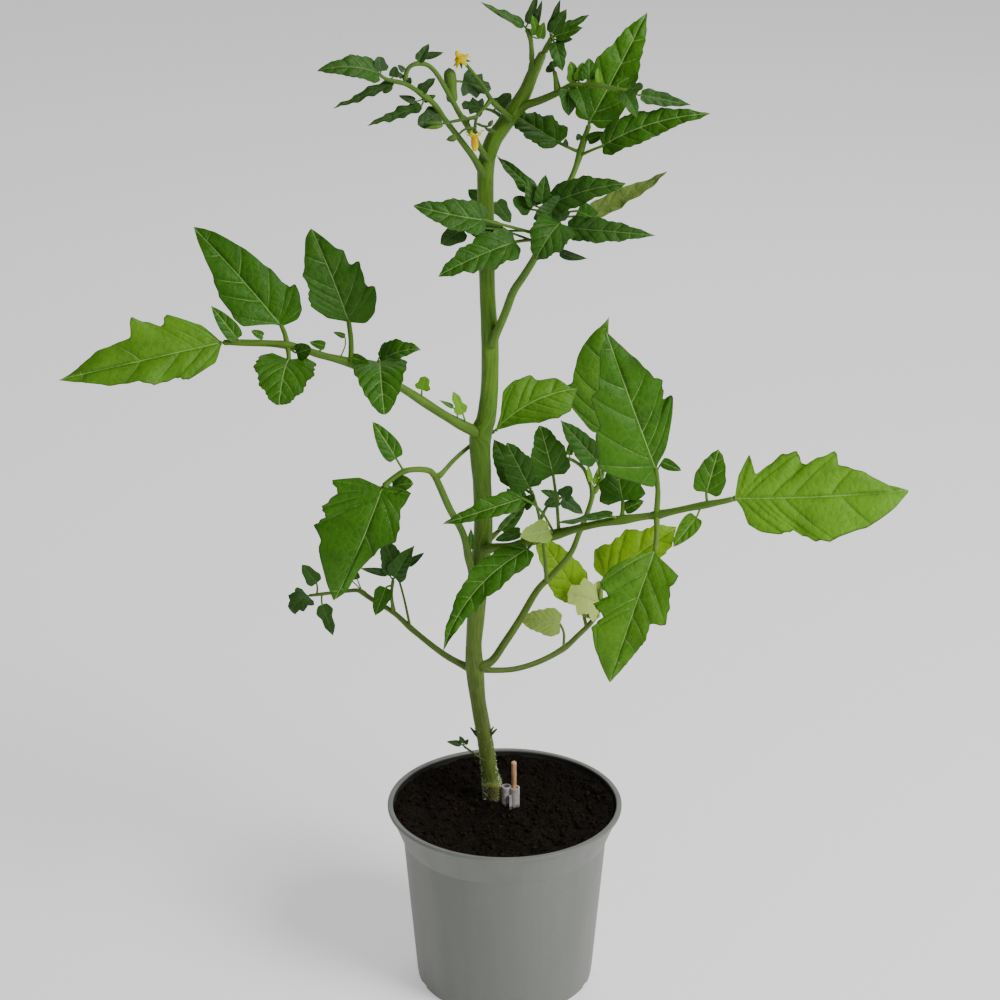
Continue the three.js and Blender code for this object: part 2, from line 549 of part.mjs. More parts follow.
const UPPER_RIGHT = {
  stalks: [
    [[[-8, -1, 373], [-4, -5, 383], [0, -10, 394], [4, -16, 407], [9, -22, 417], [14, -27, 427],
      [19, -30, 438], [25, -27, 453], [34, -20, 470], [39, -12, 484], [42, -8, 492]], [2.6, 1.2]],
  ],
  leaflets: [
    [0, 10, [42, -8, 493], [70, 4, 545], 25, { lobes: 3, cut: 0.08, bow: 3, fold: 10, side: 1 }],
    [0, 8.6, [27, -12, 483], [1, 12, 494], 19, { lobes: 4, cut: 0.14, fold: 16, turn: 10 }],
    [0, 8.5, [48, -22, 484], [100, -30, 502], 17, { lobes: 4, cut: 0.08, fold: 14, bow: 3, side: -2.5 }],
    [0, 9.1, [41, -14, 485], [50, -15, 489], 6],
    [0, 8.7, [30, -15, 482], [30, -15, 486], 3],
    [0, 9, [37, -13, 485], [36, -13, 488], 3.5],
    [0, 7.1, [23, -27, 456], [59, -38, 469], 18, { lobes: 3, fold: 12, bow: 3, turn: -10 }],
    [0, 6.8, [42, -20, 449], [80, -26, 472], 11.5, { lobes: 4, fold: -12, turn: 165, bow: 2 }],
    [0, 6.7, [36, -22, 451], [48, -24, 446], 11, { lobes: 2 }],
    [0, 6.6, [31, -32, 445], [74, -42, 444], 13, { lobes: 4, cut: 0.12, fold: 16, bow: 4, turn: 20 }],
    [0, 6.15, [-10, -36, 450], [-45, -42, 459], 18, { lobes: 3, fold: 10, bow: 2, side: -1.5 }],
    [0, 5.85, [-21, -37, 446], [-32, -40, 439], 11, { lobes: 2, turn: -20 }],
    [0, 6, [5, -36, 439], [-33, -48, 425], 20, { lobes: 4, cut: 0.16, fold: 10, bow: 3 }],
    [0, 6.3, [-1, -32, 443.5], [-17, -36, 443], 11, { lobes: 2 }],
    [0, 6.3, [27, -34, 448], [15, -44, 432], 21, { lobes: 3, bow: 5, fold: 10 }],
    [0, 7.4, [14.8, -23, 460.4], [-4.3, 4, 472.5], 9, { lobes: 2, cut: 0.2, turn: 10 }],
    [0, 7.2, [18, -25, 456], [20, -24, 470], 8, { fold: 20 }],
    [0, 7.1, [15, -24, 454], [11, -22, 467], 8],
    [0, 7, [13, -23, 452], [4, -20, 457], 10, { lobes: 2 }],
    [0, 7.05, [30, -30, 456], [14, -34, 450], 13, { lobes: 2, turn: -15 }],
    [0, 5.5, [27, -30, 432], [41, -31, 429], 5, { turn: 40, bow: 2 }],
  ],
};

const BEHIND_STEM = {
  stalks: [
    [[[-9, 2, 436], [-7, 8, 441], [-6.3, 10.5, 446.5]], [1.3, 0.8]],
  ],
  leaflets: [
    [0, 1.5, [-9, 12, 445], [-19, 15, 452], 9, { lobes: 2 }],
    [0, 1.8, [-4.6, 12, 446.2], [3, 13.4, 435], 9, { lobes: 2, cut: 0.14 }],
  ],
};

const UPPER_LEFT_SHOOT = {
  stalks: [
    [[[-9, 0, 461], [-13, -5, 469], [-16, -8, 475], [-23, -13, 486], [-30, -19, 497],
      [-35, -25, 506], [-41, -30, 512], [-48, -36, 518], [-57, -39, 521], [-61, -40, 524]],
    [2.1, 0.8]],
    [[[-8, -1, 471], [-12, -9, 479], [-17, -16, 490], [-22, -20, 499], [-25, -22, 505],
      [-30, -25, 515], [-34, -27, 522], [-38, -29, 526], [-43, -31, 527], [-47, -33, 525],
      [-49, -36, 519]], [1.7, 1]],
    [[[-26, -21, 505], [-26.5, -20.5, 512], [-27.5, -20, 522.5]], [1.8, 3.2]],
  ],
  leaflets: [
    [0, 9, [-61, -40, 524], [-90, -48, 527], 13, { lobes: 3, fold: 8, bow: 4, side: 1 }],
    [0, 8.9, [-60, -39, 525], [-61, -38, 532], 8, { lobes: 2, cut: 0.15, turn: 20 }],
    [0, 7.5, [-54, -38, 519], [-83, -44, 508], 8, { lobes: 3, cut: 0.25, fold: 14, turn: 25 }],
    [0, 7.4, [-56, -37, 518], [-59, -38, 514], 5],
    [0, 5.8, [-41, -30, 506], [-67, -38, 498], 8.5, { lobes: 3, cut: 0.25, fold: 14, turn: 20 }],
    [0, 5.6, [-44, -29, 508], [-52, -30, 511], 4],
    [0, 5.5, [-40, -27, 508], [-34, -25, 510], 4],
    [0, 4.6, [-33, -23, 500], [-43, -28, 496], 11, { lobes: 2, cut: 0.15, turn: -15 }],
    [0, 6, [-42, -30, 513], [-34, -27, 519], 6, { lobes: 2, cut: 0.2 }],
    [0, 8, [-54, -38, 522], [-53, -37, 527], 5],
    [0, 6.8, [-47, -34, 518], [-46, -34, 521], 3],
    [1, 8, [-42, -31, 528], [-37, -28, 536], 5.5, { lobes: 2, fold: 26 }],
    [1, 7.6, [-39, -30, 530], [-30, -29, 532], 4],
    [1, 9.6, [-49, -34, 524], [-52, -34, 527], 3],
    [1, 9.8, [-50, -35, 521], [-52, -36, 524], 2.6],
    [2, 1.4, [-21, -17, 515], [-7, -12, 510], 13, { lobes: 3, cut: 0.3, turn: 20 }],
    [1, 1.9, [-18, -19, 495], [-24, -16, 500], 3],
  ],
};

const BEHIND_TRUSS = {
  stalks: [
    [[[1, 0, 490], [-2, 6, 492], [-6, 10, 494], [-11, 12, 495]], [1.2, 0.7]],
  ],
  leaflets: [
    [0, 3, [-11, 12, 495], [-22, 12, 497], 10, { lobes: 3, cut: 0.35 }],
    [0, 2, [-5, 11, 495], [3, 14, 502], 9, { lobes: 2, cut: 0.2 }],
  ],
};

const FLOWER_TRUSS = {
  stalks: [
    [[[3, -3, 493], [1, -8, 496], [-3, -13, 501], [-7, -16, 506], [-11, -18, 513], [-15, -20, 519],
      [-19.2, -22.2, 524.8], [-21.6, -23.2, 527.4]], [1.7, 0.7]],
    [[[-7, -16, 506], [-10, -20, 503], [-14, -23, 499], [-15.1, -26.1, 490.9]], [1, 0.75]],
    [[[-13, -23, 499], [-22, -26, 498], [-31, -29, 497]], [0.8, 0.7]],
    [[[-14, -24.5, 496], [-11, -26, 495], [-8, -27, 495]], [0.5, 0.5]],
    [[[-14.7, -25.3, 494], [-20, -27, 493.5], [-24, -28, 490]], [0.55, 0.5]],
  ],
  leaflets: [
    [2, 2, [-31, -29, 497], [-39, -31, 498], 3.6],
    [2, 2, [-31, -29, 496], [-39, -31, 495], 3.2],
    [4, 2, [-24, -28, 490], [-29, -30, 489], 4.6],
    [3, 1.9, [-8, -27, 495.4], [-6, -28, 498.5], 3.2],
    [3, 1.2, [-9, -26.5, 493.6], [-4, -28, 492], 3],
  ],
};
// Each open flower: the middle of its petals and the way that its cone points.
const FLOWERS = {
  flower_upper: { middle: [-22, -23.6, 528.2], axis: [-0.4, -0.45, 0.8], cone: 4.5 },
  flower_lower: { middle: [-15.2, -26.4, 490], axis: [0.05, -0.2, -1], cone: 7.5 },
};

const RIGHT_TOP_SHOOT = {
  stalks: [
    [[[5, 0, 496], [10, -3, 500], [18, -8, 504], [26, -14, 509], [32, -18, 513], [38, -21, 514],
      [45, -25, 515], [53, -28, 514], [60, -29, 513], [65, -29, 511]], [2.3, 0.8]],
    [[[26, -14, 509], [25, -13, 515], [24, -12, 520]], [1.4, 0.9]],
  ],
  leaflets: [
    [1, 2, [23, -12, 521], [20, -13, 519], 4],
    [1, 2, [24, -12, 521], [23, -11, 524], 5],
    [0, 4, [31, -20, 512], [31, -26, 500], 10, { lobes: 2, fold: 18, bow: 3 }],
    [0, 4.6, [35, -22, 513], [40, -30, 500], 10, { lobes: 2, fold: 18, bow: 3 }],
    [0, 4.3, [34, -18, 515], [32, -16, 525], 7, { lobes: 2, cut: 0.15 }],
    [0, 4.8, [36, -19, 516], [38, -18, 525], 6, { lobes: 2, cut: 0.15 }],
    [0, 5.5, [41, -21, 517], [41, -18, 527], 8],
    [0, 6.1, [46, -24, 516], [45, -22, 523], 4],
    [0, 7.2, [55, -27, 516], [60, -26, 519], 5],
    [0, 7.6, [57, -29, 513], [64, -34, 501], 9, { lobes: 2, bow: 3, fold: 16 }],
    [0, 8.4, [62, -29, 514], [67, -29, 516], 6, { lobes: 2, cut: 0.2 }],
    [0, 9, [66, -28, 511], [91, -24, 505], 8, { lobes: 3, cut: 0.14, turn: 20 }],
  ],
};

const TIP_LEFT = {
  stalks: [
    [[[13, 0, 514], [13, -3, 519], [13, -6, 529], [12, -8, 536], [10, -9, 540]], [1.6, 1]],
  ],
  leaflets: [
    [0, 4, [9, -9, 541], [-12, -12, 553], 6, { lobes: 3, cut: 0.12, fold: 14, turn: 15 }],
    [0, 4, [9, -10, 541], [-5, -15, 550], 5.5, { lobes: 2, fold: 14 }],
    [0, 4, [11, -9, 542], [16, -9, 557], 5, { lobes: 2 }],
    [0, 3.6, [14, -9, 540], [18, -11, 554], 4],
    [0, 3.1, [15.6, -10, 537.4], [13, -13, 547], 5.5, { lobes: 2, cut: 0.2 }],
    [0, 3, [17, -10, 535], [19, -14, 544], 5],
  ],
};

const TIP_RIGHT = {
  stalks: [
    [[[19, -3, 526], [21, -5, 531], [23, -8, 535]], [1.3, 1]],
  ],
  leaflets: [
    [0, 2, [24, -8, 536], [41, -12, 547], 6.5, { lobes: 3, cut: 0.12, turn: 20 }],
    [0, 2, [25, -9, 536], [38, -14, 541], 7.5, { lobes: 2, cut: 0.08, fold: 16 }],
    [0, 2, [25, -9, 534], [33, -12, 535], 5],
    [0, 2, [24, -10, 533], [28, -16, 520], 9, { lobes: 3, cut: 0.12, bow: 3, fold: 12 }],
    [0, 2, [23, -8, 537], [30, -8, 549], 7.5, { lobes: 2, cut: 0.12 }],
    [0, 1.8, [22, -6, 537], [27, -4, 553], 5, { lobes: 2, cut: 0.12 }],
  ],
};

const BASE_SPROUT = {
  stalks: [
    [[[-8, 15, 122], [-13, 9, 129], [-18, 7, 134], [-23, 5, 139]], [0.8, 0.6]],
  ],
  leaflets: [
    [0, 3, [-24, 5, 140], [-32, 4, 142], 5],
    [0, 3, [-23, 5, 141], [-25, 5, 145], 3],
    [0, 3, [-22, 5, 140], [-20, 5, 143], 2.6],
  ],
};

function makeStalks(frond) {
  return frond.stalks.map(([points, radii]) => stalk(points, radii));
}

function makeFrond(frond, cutter, extras = []) {
  const lines = makeStalks(frond);
  const leaflets = frond.leaflets.map(([number, place, base, tip, wide, shape]) => leaflet(
    lines[number], place, base, tip, wide, shape,
  ));
  return largest(fuse([...lines.map((line) => tube(line)), ...leaflets, ...extras]).subtract(cutter));
}

// One ring of petals or sepals: flat tapered tongues that sweep back from the middle.
function makeTongues({ middle, axis }, { count, length, half, start, back, turned }) {
  const forward = vector(axis).normalize();
  const across = new THREE.Vector3(0, 1, 0).cross(forward).normalize();
  const up = forward.clone().cross(across);
  const thickness = 0.7;
  const pieces = [];
  for (let tongue = 0; tongue < count; tongue += 1) {
    const turn = (2 * Math.PI * (tongue + turned)) / count;
    const outward = across.clone().multiplyScalar(Math.cos(turn)).addScaledVector(up, Math.sin(turn));
    const beside = outward.clone().cross(forward);
    const rings = [[0, 0.5], [0.4, 1], [1, 0.25]].map(([share, width]) => {
      const spot = vector(middle)
        .addScaledVector(outward, 0.45 + share * length)
        .addScaledVector(forward, start - back * share ** 2);
      const lift = forward.clone().multiplyScalar(thickness / 2);
      return [
        spot.clone().addScaledVector(beside, -half * width).add(lift),
        spot.clone().addScaledVector(beside, half * width).add(lift),
        spot.clone().addScaledVector(beside, half * width).sub(lift),
        spot.clone().addScaledVector(beside, -half * width).sub(lift),
      ];
    });
    pieces.push(loft(rings));
  }
  return pieces;
}

// The yellow part of an open flower: petals swept back from the cone of stamens.
function makeFlower(flower) {
  const forward = vector(flower.axis).normalize();
  const along = (reach) => vector(flower.middle).addScaledVector(forward, reach).toArray();
  const belly = 1.1 + 0.11 * flower.cone;
  const cone = stalk(
    [along(-0.4), along(flower.cone * 0.5), along(flower.cone)], [1.3, belly, belly / 2],
  );
  return largest(fuse([tube(cone, 6), ...makeTongues(flower, PETALS)]));
}

// Put together
const group = new THREE.Group();

function addPart(name, solid, color, roughness = 0.6) {
  const material = new THREE.MeshStandardMaterial({ color, roughness, metalness: 0 });
  const mesh = new THREE.Mesh(toGeometry(solid), material);
  mesh.name = name;
  group.add(mesh);
}

const stem = tube(stemLine, STEM_SIDES);
const grownStem = tube(stemLine, STEM_SIDES, GAP);
const POT_GREY = 0x7c7c78;
const PEAT_BLACK = 0x120e08;
const STEM_GREEN = 0x557034;
const CLIP_GREY = 0x9a9996;
const STICK_BROWN = 0x8a6c52;
const LEAF_GREEN = 0x436d1b;
const PALE_GREEN = 0x9db065;
const YELLOW_GREEN = 0x7a931a;
const TRUSS_GREEN = 0x6f8f3a;
const PETAL_YELLOW = 0xbda130;

addPart('pot', makePot(), POT_GREY, 0.55);
addPart('soil', makeSoil(grownStem), PEAT_BLACK, 0.95);
addPart('main_stem', stem, STEM_GREEN, 0.6);
addPart('graft_clip', makeClip(), CLIP_GREY, 0.35);
addPart('graft_stick', makeStick(), STICK_BROWN, 0.8);

const FRONDS = {
  leaf_upper_left: UPPER_LEFT,
  leaf_middle_left: MIDDLE_LEFT,
  leaf_lower_left: LOWER_LEFT,
  leaf_right_front: RIGHT_FRONT,
  leaf_right_rising: RIGHT_RISING,
  leaf_centre_small: CENTRE_SMALL,
  leaf_upper_right: UPPER_RIGHT,
  leaf_behind_stem: BEHIND_STEM,
  shoot_upper_left: UPPER_LEFT_SHOOT,
  leaf_behind_truss: BEHIND_TRUSS,
  shoot_right_top: RIGHT_TOP_SHOOT,
  shoot_tip_left: TIP_LEFT,
  shoot_tip_right: TIP_RIGHT,
  base_sprout: BASE_SPROUT,
};
Object.entries(FRONDS).forEach(([name, frond]) => {
  addPart(name, makeFrond(frond, grownStem), LEAF_GREEN);
});

addPart('leaf_lower_back', makeFrond(LOWER_BACK, grownStem), PALE_GREEN);
const backStalk = makeStalks(LOWER_BACK)[0];
const [, palePlace, ...paleForm] = LOWER_BACK.leaflets[1];
const grownBackStalk = fuse([
  tube(backStalk, STALK_SIDES, GAP),
  leaflet(backStalk, palePlace, ...paleForm),
]);
YELLOW_LEAFLETS.forEach(([, place, base, tip, wide, shape], index) => {
  const blade = leaflet(backStalk, place, base, tip, wide, shape);
  addPart(`yellow_leaflet_${index + 1}`, largest(blade.subtract(grownBackStalk)), YELLOW_GREEN);
});

const sepals = Object.values(FLOWERS).flatMap((flower) => makeTongues(flower, SEPALS));
addPart('flower_truss', makeFrond(FLOWER_TRUSS, grownStem, sepals), TRUSS_GREEN);
Object.entries(FLOWERS).forEach(([name, flower]) => {
  addPart(name, makeFlower(flower), PETAL_YELLOW);
});

export default group;
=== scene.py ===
"""A young grafted tomato plant in a grey nursery pot, dressed over its packed solids.

Blender's frame is in metres, +Z up, with the origin in the middle of the pot's underside.
The places and widths in the leaf tables are in millimetres, and MM turns them into metres.
"""
import math

import bpy
import numpy as np
from bpy.props import FloatProperty, FloatVectorProperty, IntProperty, PointerProperty
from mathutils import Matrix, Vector, noise


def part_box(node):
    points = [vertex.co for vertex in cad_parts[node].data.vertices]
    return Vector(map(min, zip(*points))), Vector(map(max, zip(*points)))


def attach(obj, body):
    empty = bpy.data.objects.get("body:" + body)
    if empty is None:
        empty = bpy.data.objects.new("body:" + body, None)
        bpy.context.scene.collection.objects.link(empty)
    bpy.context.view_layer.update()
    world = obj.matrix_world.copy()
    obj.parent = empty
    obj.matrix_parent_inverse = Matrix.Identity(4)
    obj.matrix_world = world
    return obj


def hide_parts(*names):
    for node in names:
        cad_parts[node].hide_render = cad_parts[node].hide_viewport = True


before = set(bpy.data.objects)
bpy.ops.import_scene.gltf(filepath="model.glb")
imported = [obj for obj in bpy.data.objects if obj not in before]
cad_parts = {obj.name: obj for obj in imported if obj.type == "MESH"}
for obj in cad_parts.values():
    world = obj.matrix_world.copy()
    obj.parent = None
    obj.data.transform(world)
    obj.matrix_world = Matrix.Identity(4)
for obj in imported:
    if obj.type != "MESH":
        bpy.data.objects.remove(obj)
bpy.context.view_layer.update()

bl_info = {
    "name": "Potted tomato plant",
    "version": (1, 0, 0),
    "blender": (4, 5, 0),
    "location": "View3D > Sidebar > Tomato",
    "description": "Builds a tomato plant with its pot, soil, graft clip and flowers",
    "category": "Add Mesh",
}

MM = 0.001
UP = np.array([0.0, 0.0, 1.0])
DISPLAY_WHITE = 255
SEED = 11
PETALS = 5
GRAFT_HEIGHT = 0.1115

# Seen from above: the middles of the clip's two tubes and of the tail that joins them, and
# how far out the loose crumbs and fibres of the soil lie.
CLIP_TUBES = ((0.0009, 0.0134), (0.0056, 0.012))
CLIP_TAIL = (0.0032, 0.0099)
CRUMB_REACH = 0.0595


def shade(red, green, blue):
    """A colour as a screen shows it, from 0 to 255, as the linear light that Blender reads."""
    values = []
    for part in (red, green, blue):
        share = part / DISPLAY_WHITE
        values.append(share / 12.92 if share <= 0.04045 else ((share + 0.055) / 1.055) ** 2.4)
    return tuple(values)


# Settings


def length(name, description, default):
    return FloatProperty(name=name, description=description, default=default, min=0.0,
                         precision=5, unit="LENGTH", subtype="DISTANCE")


def place(name, description, default):
    return FloatVectorProperty(name=name, description=description, default=default, size=3,
                               precision=4, unit="LENGTH", subtype="XYZ")


def colour(name, description, default):
    return FloatVectorProperty(name=name, description=description, default=default, size=3,
                               min=0.0, max=1.0, subtype="COLOR")


class TOMATO_PG_stage(bpy.types.PropertyGroup):
    """Camera, lights and floor"""

    eye: place("Camera place", "Where the camera stands", (-0.0026, -1.2796, 0.7963))
    pitch: FloatProperty(name="Camera pitch", description="How far the camera looks down",
                         default=math.radians(21.7), subtype="ANGLE")
    lens: FloatProperty(name="Lens", description="Focal length on a sensor 36 mm wide",
                        default=93.6, unit="CAMERA")
    floor: colour("Floor colour", "Colour of floor and backdrop", (0.86, 0.86, 0.86))
    key_power: FloatProperty(name="Key light", description="Power of the large soft light",
                             default=54.0, unit="POWER")
    fill_power: FloatProperty(name="Fill light", description="Power of the light on the left",
                              default=0.4, unit="POWER")
    rim_power: FloatProperty(name="Back light", description="Power of the light behind",
                             default=12.0, unit="POWER")
    air: FloatProperty(name="Surrounding light", description="Strength of the even light",
                       default=0.25)
    glow: FloatProperty(name="Backdrop glow", description="Light that the backdrop gives off",
                        default=0.42)


class TOMATO_PG_pot(bpy.types.PropertyGroup):
    """Nursery pot"""

    height: length("Height", "Height of the pot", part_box("pot")[1].z)
    rim_radius: length("Rim radius", "Outer radius of the lip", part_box("pot")[1].x)
    hole_radius: length("Opening radius", "Radius inside the lip", 0.062)
    collar_foot: length("Collar foot height", "Height where the collar starts", 0.087)
    collar_radius: length("Collar foot radius", "Outer radius where the collar starts", 0.057)
    base_radius: length("Foot radius", "Outer radius of the foot ring", 0.049)
    wall: length("Wall", "Thickness of the moulded wall", 0.0015)
    turns: IntProperty(name="Sides", description="Faces around the pot", default=192, min=48)
    plastic: colour("Plastic", "Colour of the moulded plastic", shade(108, 111, 105))


class TOMATO_PG_soil(bpy.types.PropertyGroup):
    """Peat in the pot"""

    middle: length("Middle height", "Height of the surface in the pot's middle", 0.0985)
    edge: length("Edge height", "Height of the surface at the wall", 0.1041)
    lump: length("Lump height", "How uneven the surface is", 0.0022)
    crumbs: IntProperty(name="Crumbs", description="Loose crumbs on the surface", default=1500)
    fibres: IntProperty(name="Fibres", description="Loose fibres on the surface", default=90)
    peat: colour("Peat", "Main colour of the soil", shade(19, 15, 9))
    dry: colour("Dry crumbs", "Colour of the drier crumbs", shade(38, 27, 16))
    fibre: colour("Fibre", "Colour of fibres and chips of bark", shade(66, 49, 33))


class TOMATO_PG_stem(bpy.types.PropertyGroup):
    """Main stem and leaf stalks"""

    green: colour("Stem green", "Colour of the stem", shade(81, 119, 28))
    deep: colour("Shaded green", "Colour of the streaks", shade(54, 86, 17))
    low: colour("Low stem", "Colour of the older, lower stem", shade(92, 106, 46))
    stock: colour("Root stock", "Colour of the swollen foot below the graft", shade(72, 63, 34))
    hair: colour("Hair", "Colour of the fine hairs", shade(190, 202, 160))
    hair_length: length("Hair length", "Length of a usual hair", 0.0008)


class TOMATO_PG_leaf(bpy.types.PropertyGroup):
    """Leaflets"""

    blade: length("Blade thickness", "Thickness of a leaflet", 0.00042)
    quilt: FloatProperty(name="Quilting", description="How far the blade swells between its "
                         "veins, as a share of their distance", default=0.085)
    wave: FloatProperty(name="Wave", description="How far the edge waves, as a share of the "
                        "leaflet's length", default=0.013)
    green: colour("Leaf green", "Colour of a grown leaflet", shade(50, 98, 9))
    deep: colour("Dark green", "Colour of the young, dark leaflets", shade(44, 70, 32))
    bright: colour("Bright green", "Colour of leaflets in full light", shade(106, 158, 34))
    yellow: colour("Yellow green", "Colour of the oldest, yellowing leaflets", shade(110, 153, 4))
    vein: colour("Vein", "Colour of the veins", shade(150, 186, 104))
    pale: colour("Underside", "Colour of the underside", shade(132, 158, 70))


class TOMATO_PG_flower(bpy.types.PropertyGroup):
    """Flowers"""

    petal: colour("Petal", "Colour of the petals", shade(208, 188, 0))
    cone: colour("Stamen cone", "Colour of the cone of stamens", shade(204, 160, 0))


class TOMATO_PG_clip(bpy.types.PropertyGroup):
    """Graft clip and its stick"""

    tube_radius: length("Tube radius", "Outer radius of a tube of the clip", 0.0028)
    bore_radius: length("Bore radius", "Radius of a tube's bore", 0.0019)
    silicone: colour("Silicone", "Colour of the clip", shade(186, 181, 178))
    stick_radius: length("Stick radius", "Radius of the stick", 0.0015)
    wood: colour("Wood", "Colour of the stick", shade(214, 164, 124))


SETTINGS = {
    "tomato_stage": TOMATO_PG_stage,
    "tomato_pot": TOMATO_PG_pot,
    "tomato_soil": TOMATO_PG_soil,
    "tomato_stem": TOMATO_PG_stem,
    "tomato_leaf": TOMATO_PG_leaf,
    "tomato_flower": TOMATO_PG_flower,
    "tomato_clip": TOMATO_PG_clip,
}


# Materials


class Value:
    """A socket's value, which takes part in sums: each sign adds its Math node."""

    def __init__(self, recipe, socket):
        self.recipe = recipe
        self.socket = socket

    def sum(self, operation, *terms):
        return self.recipe.node("ShaderNodeMath", {"operation": operation},
                                dict(enumerate(terms)))

    def __add__(self, other):
        return self.sum("ADD", self, other)

    def __sub__(self, other):
        return self.sum("SUBTRACT", self, other)

    def __rsub__(self, other):
        return self.sum("SUBTRACT", other, self)

    def __mul__(self, other):
        return self.sum("MULTIPLY", self, other)

    def __neg__(self):
        return self.sum("MULTIPLY", self, -1)

    __radd__ = __add__
    __rmul__ = __mul__

    def least(self, other):
        return self.sum("MINIMUM", self, other)

    def most(self, other):
        return self.sum("MAXIMUM", self, other)


class Recipe:
    """A material under construction."""

    def __init__(self, name, **plain):
        self.material = bpy.data.materials.new(name)
        self.material.use_nodes = True
        self.tree = self.material.node_tree
        self.surface = self.tree.nodes["Principled BSDF"]
        for socket, value in plain.items():
            self.put(self.surface.inputs[socket.replace("_", " ")], value)

    def put(self, socket, value):
        if isinstance(value, Value):
            self.tree.links.new(value.socket, socket)
        elif socket.type == "RGBA":
            socket.default_value = (*value, 1.0)
        else:
            socket.default_value = value

    def node(self, kind, settings=None, inputs=None, output=0):
        """Any node: its settings are set first, then the values or links of its sockets."""
        made = self.tree.nodes.new(kind)
        for name, value in (settings or {}).items():
            setattr(made, name, value)
        for name, value in (inputs or {}).items():
            self.put(made.inputs[name], value)
        return Value(self, made.outputs[output])

    def mix(self, share, first, second, blend="MIX"):
        """A colour between two others, or one laid over the other."""
        return self.node("ShaderNodeMix", {"data_type": "RGBA", "blend_type": blend},
                         {0: share, 6: first, 7: second}, output=2)

    def lay(self, tone, *layers):
        """Colours laid over a tone in turn, each up to its share where its value rises."""
        for value, low, high, share, over in layers:
            tone = self.mix(self.rise(value, low, high) * share, tone, over)
        return tone

    def rise(self, value, low, high):
        """0 below low, 1 above high and smooth between."""
        return self.node("ShaderNodeMapRange", {"interpolation_type": "SMOOTHSTEP"},
                         {"Value": value, "From Min": low, "From Max": high})

    def parts(self, vector):
        """The three numbers of a vector."""
        return [self.node("ShaderNodeSeparateXYZ", {}, {0: vector}, output=axis)
                for axis in range(3)]

    def read(self, name):
        """A vector that the mesh holds at each point."""
        return self.node("ShaderNodeAttribute", {"attribute_name": name}, output=1)

    def spot(self):
        """The place on the object, in metres."""
        return self.node("ShaderNodeTexCoord", output="Object")

    def stretch(self, vector, by):
        return self.node("ShaderNodeVectorMath", {"operation": "MULTIPLY"}, {0: vector, 1: by})

    def cloud(self, vector, size, detail=3.0, rough=0.55):
        """Soft noise whose patches are about as large as size, in metres."""
        return self.node("ShaderNodeTexNoise", {}, {"Vector": vector, "Scale": 1 / size,
                                                    "Detail": detail, "Roughness": rough})

    def cells(self, vector, size, feature="DISTANCE_TO_EDGE"):
        """A net of cells of that size, in metres: how far a point is from the net."""
        return self.node("ShaderNodeTexVoronoi", {"feature": feature},
                         {"Vector": vector, "Scale": 1 / size})

    def relief(self, height, depth, strength=1.0):
        """Bump of that depth, in metres."""
        return self.node("ShaderNodeBump", {}, {"Height": height, "Distance": depth,
                                                "Strength": strength})

    def finish(self, **surface):
        for socket, value in surface.items():
            self.put(self.surface.inputs[socket.replace("_", " ")], value)
        return self.material


def plastic_finish(settings):
    """Satin moulded plastic with a fine grain, faint flow marks and dust. The inside of the
    wall, up to the lip, is darkened with painted shade."""
    collar_lean = 0.39
    recipe = Recipe("moulded_plastic", Specular_IOR_Level=0.45)
    spot = recipe.spot()
    height = recipe.parts(spot)[2]
    grain = recipe.cloud(spot, 0.0011, 2.0)
    flow = recipe.cloud(recipe.stretch(spot, (1.0, 1.0, 0.12)), 0.012, 4.0)
    dust = recipe.rise(recipe.cloud(spot, 0.0045, 5.0, 0.7), 0.6, 0.78)
    darker, dark = (tuple(share * part for part in settings.plastic) for share in (0.86, 0.6))
    tone = recipe.lay(settings.plastic, (flow, 0.3, 0.7, 0.55, darker),
                      (grain, 0.35, 0.75, 0.12, dark))
    tone = recipe.mix(dust * 0.16, tone, shade(170, 160, 142))
    out = recipe.node("ShaderNodeVectorMath", {"operation": "LENGTH"},
                      {0: recipe.stretch(spot, (1.0, 1.0, 0.0))}, output=1)
    outside = recipe.rise(out - height * collar_lean, 0.0213, 0.0218)
    # Painted shade: the inside of the wall below the lip is mixed towards near black and made
    # rougher.
    painted_inner_shade = (1 - outside) * (1 - recipe.rise(height, 0.1056, 0.1067)) * (0.92 + 0.08 * flow)
    return recipe.finish(
        Base_Color=recipe.mix(painted_inner_shade, tone, shade(12, 10, 8)),
        Roughness=0.4 + 0.16 * flow + 0.2 * dust + 0.4 * painted_inner_shade,
        Normal=recipe.relief(grain + flow * 0.6, 0.00006, 0.6),
    )


def soil_finish(settings):
    """Dark peat with drier crumbs and specks of fibre."""
    recipe = Recipe("peat", Specular_IOR_Level=0.08)
    spot = recipe.spot()
    fibre, crumb, _ = recipe.parts(recipe.read("kind"))
    lumps = recipe.cloud(spot, 0.006, 6.0, 0.7)
    crumbs = recipe.cells(spot, 0.0016, "F1")
    specks = recipe.cloud(spot, 0.0007, 3.0, 0.6)
    tone = recipe.lay(settings.peat, (lumps, 0.42, 0.72, 0.75, settings.dry),
                      (crumbs, 0.2, 0.75, 0.6, shade(9, 7, 5)),
                      (specks, 0.66, 0.8, 0.55, settings.dry))
    tone = recipe.mix(fibre, tone, settings.fibre)
    return recipe.finish(
        Base_Color=recipe.mix(crumb * 0.5, tone, settings.dry),
        Roughness=0.72 + 0.25 * lumps,
        Normal=recipe.relief(lumps + crumbs * 0.8 + specks * 0.5, 0.0011, 0.9),
    )


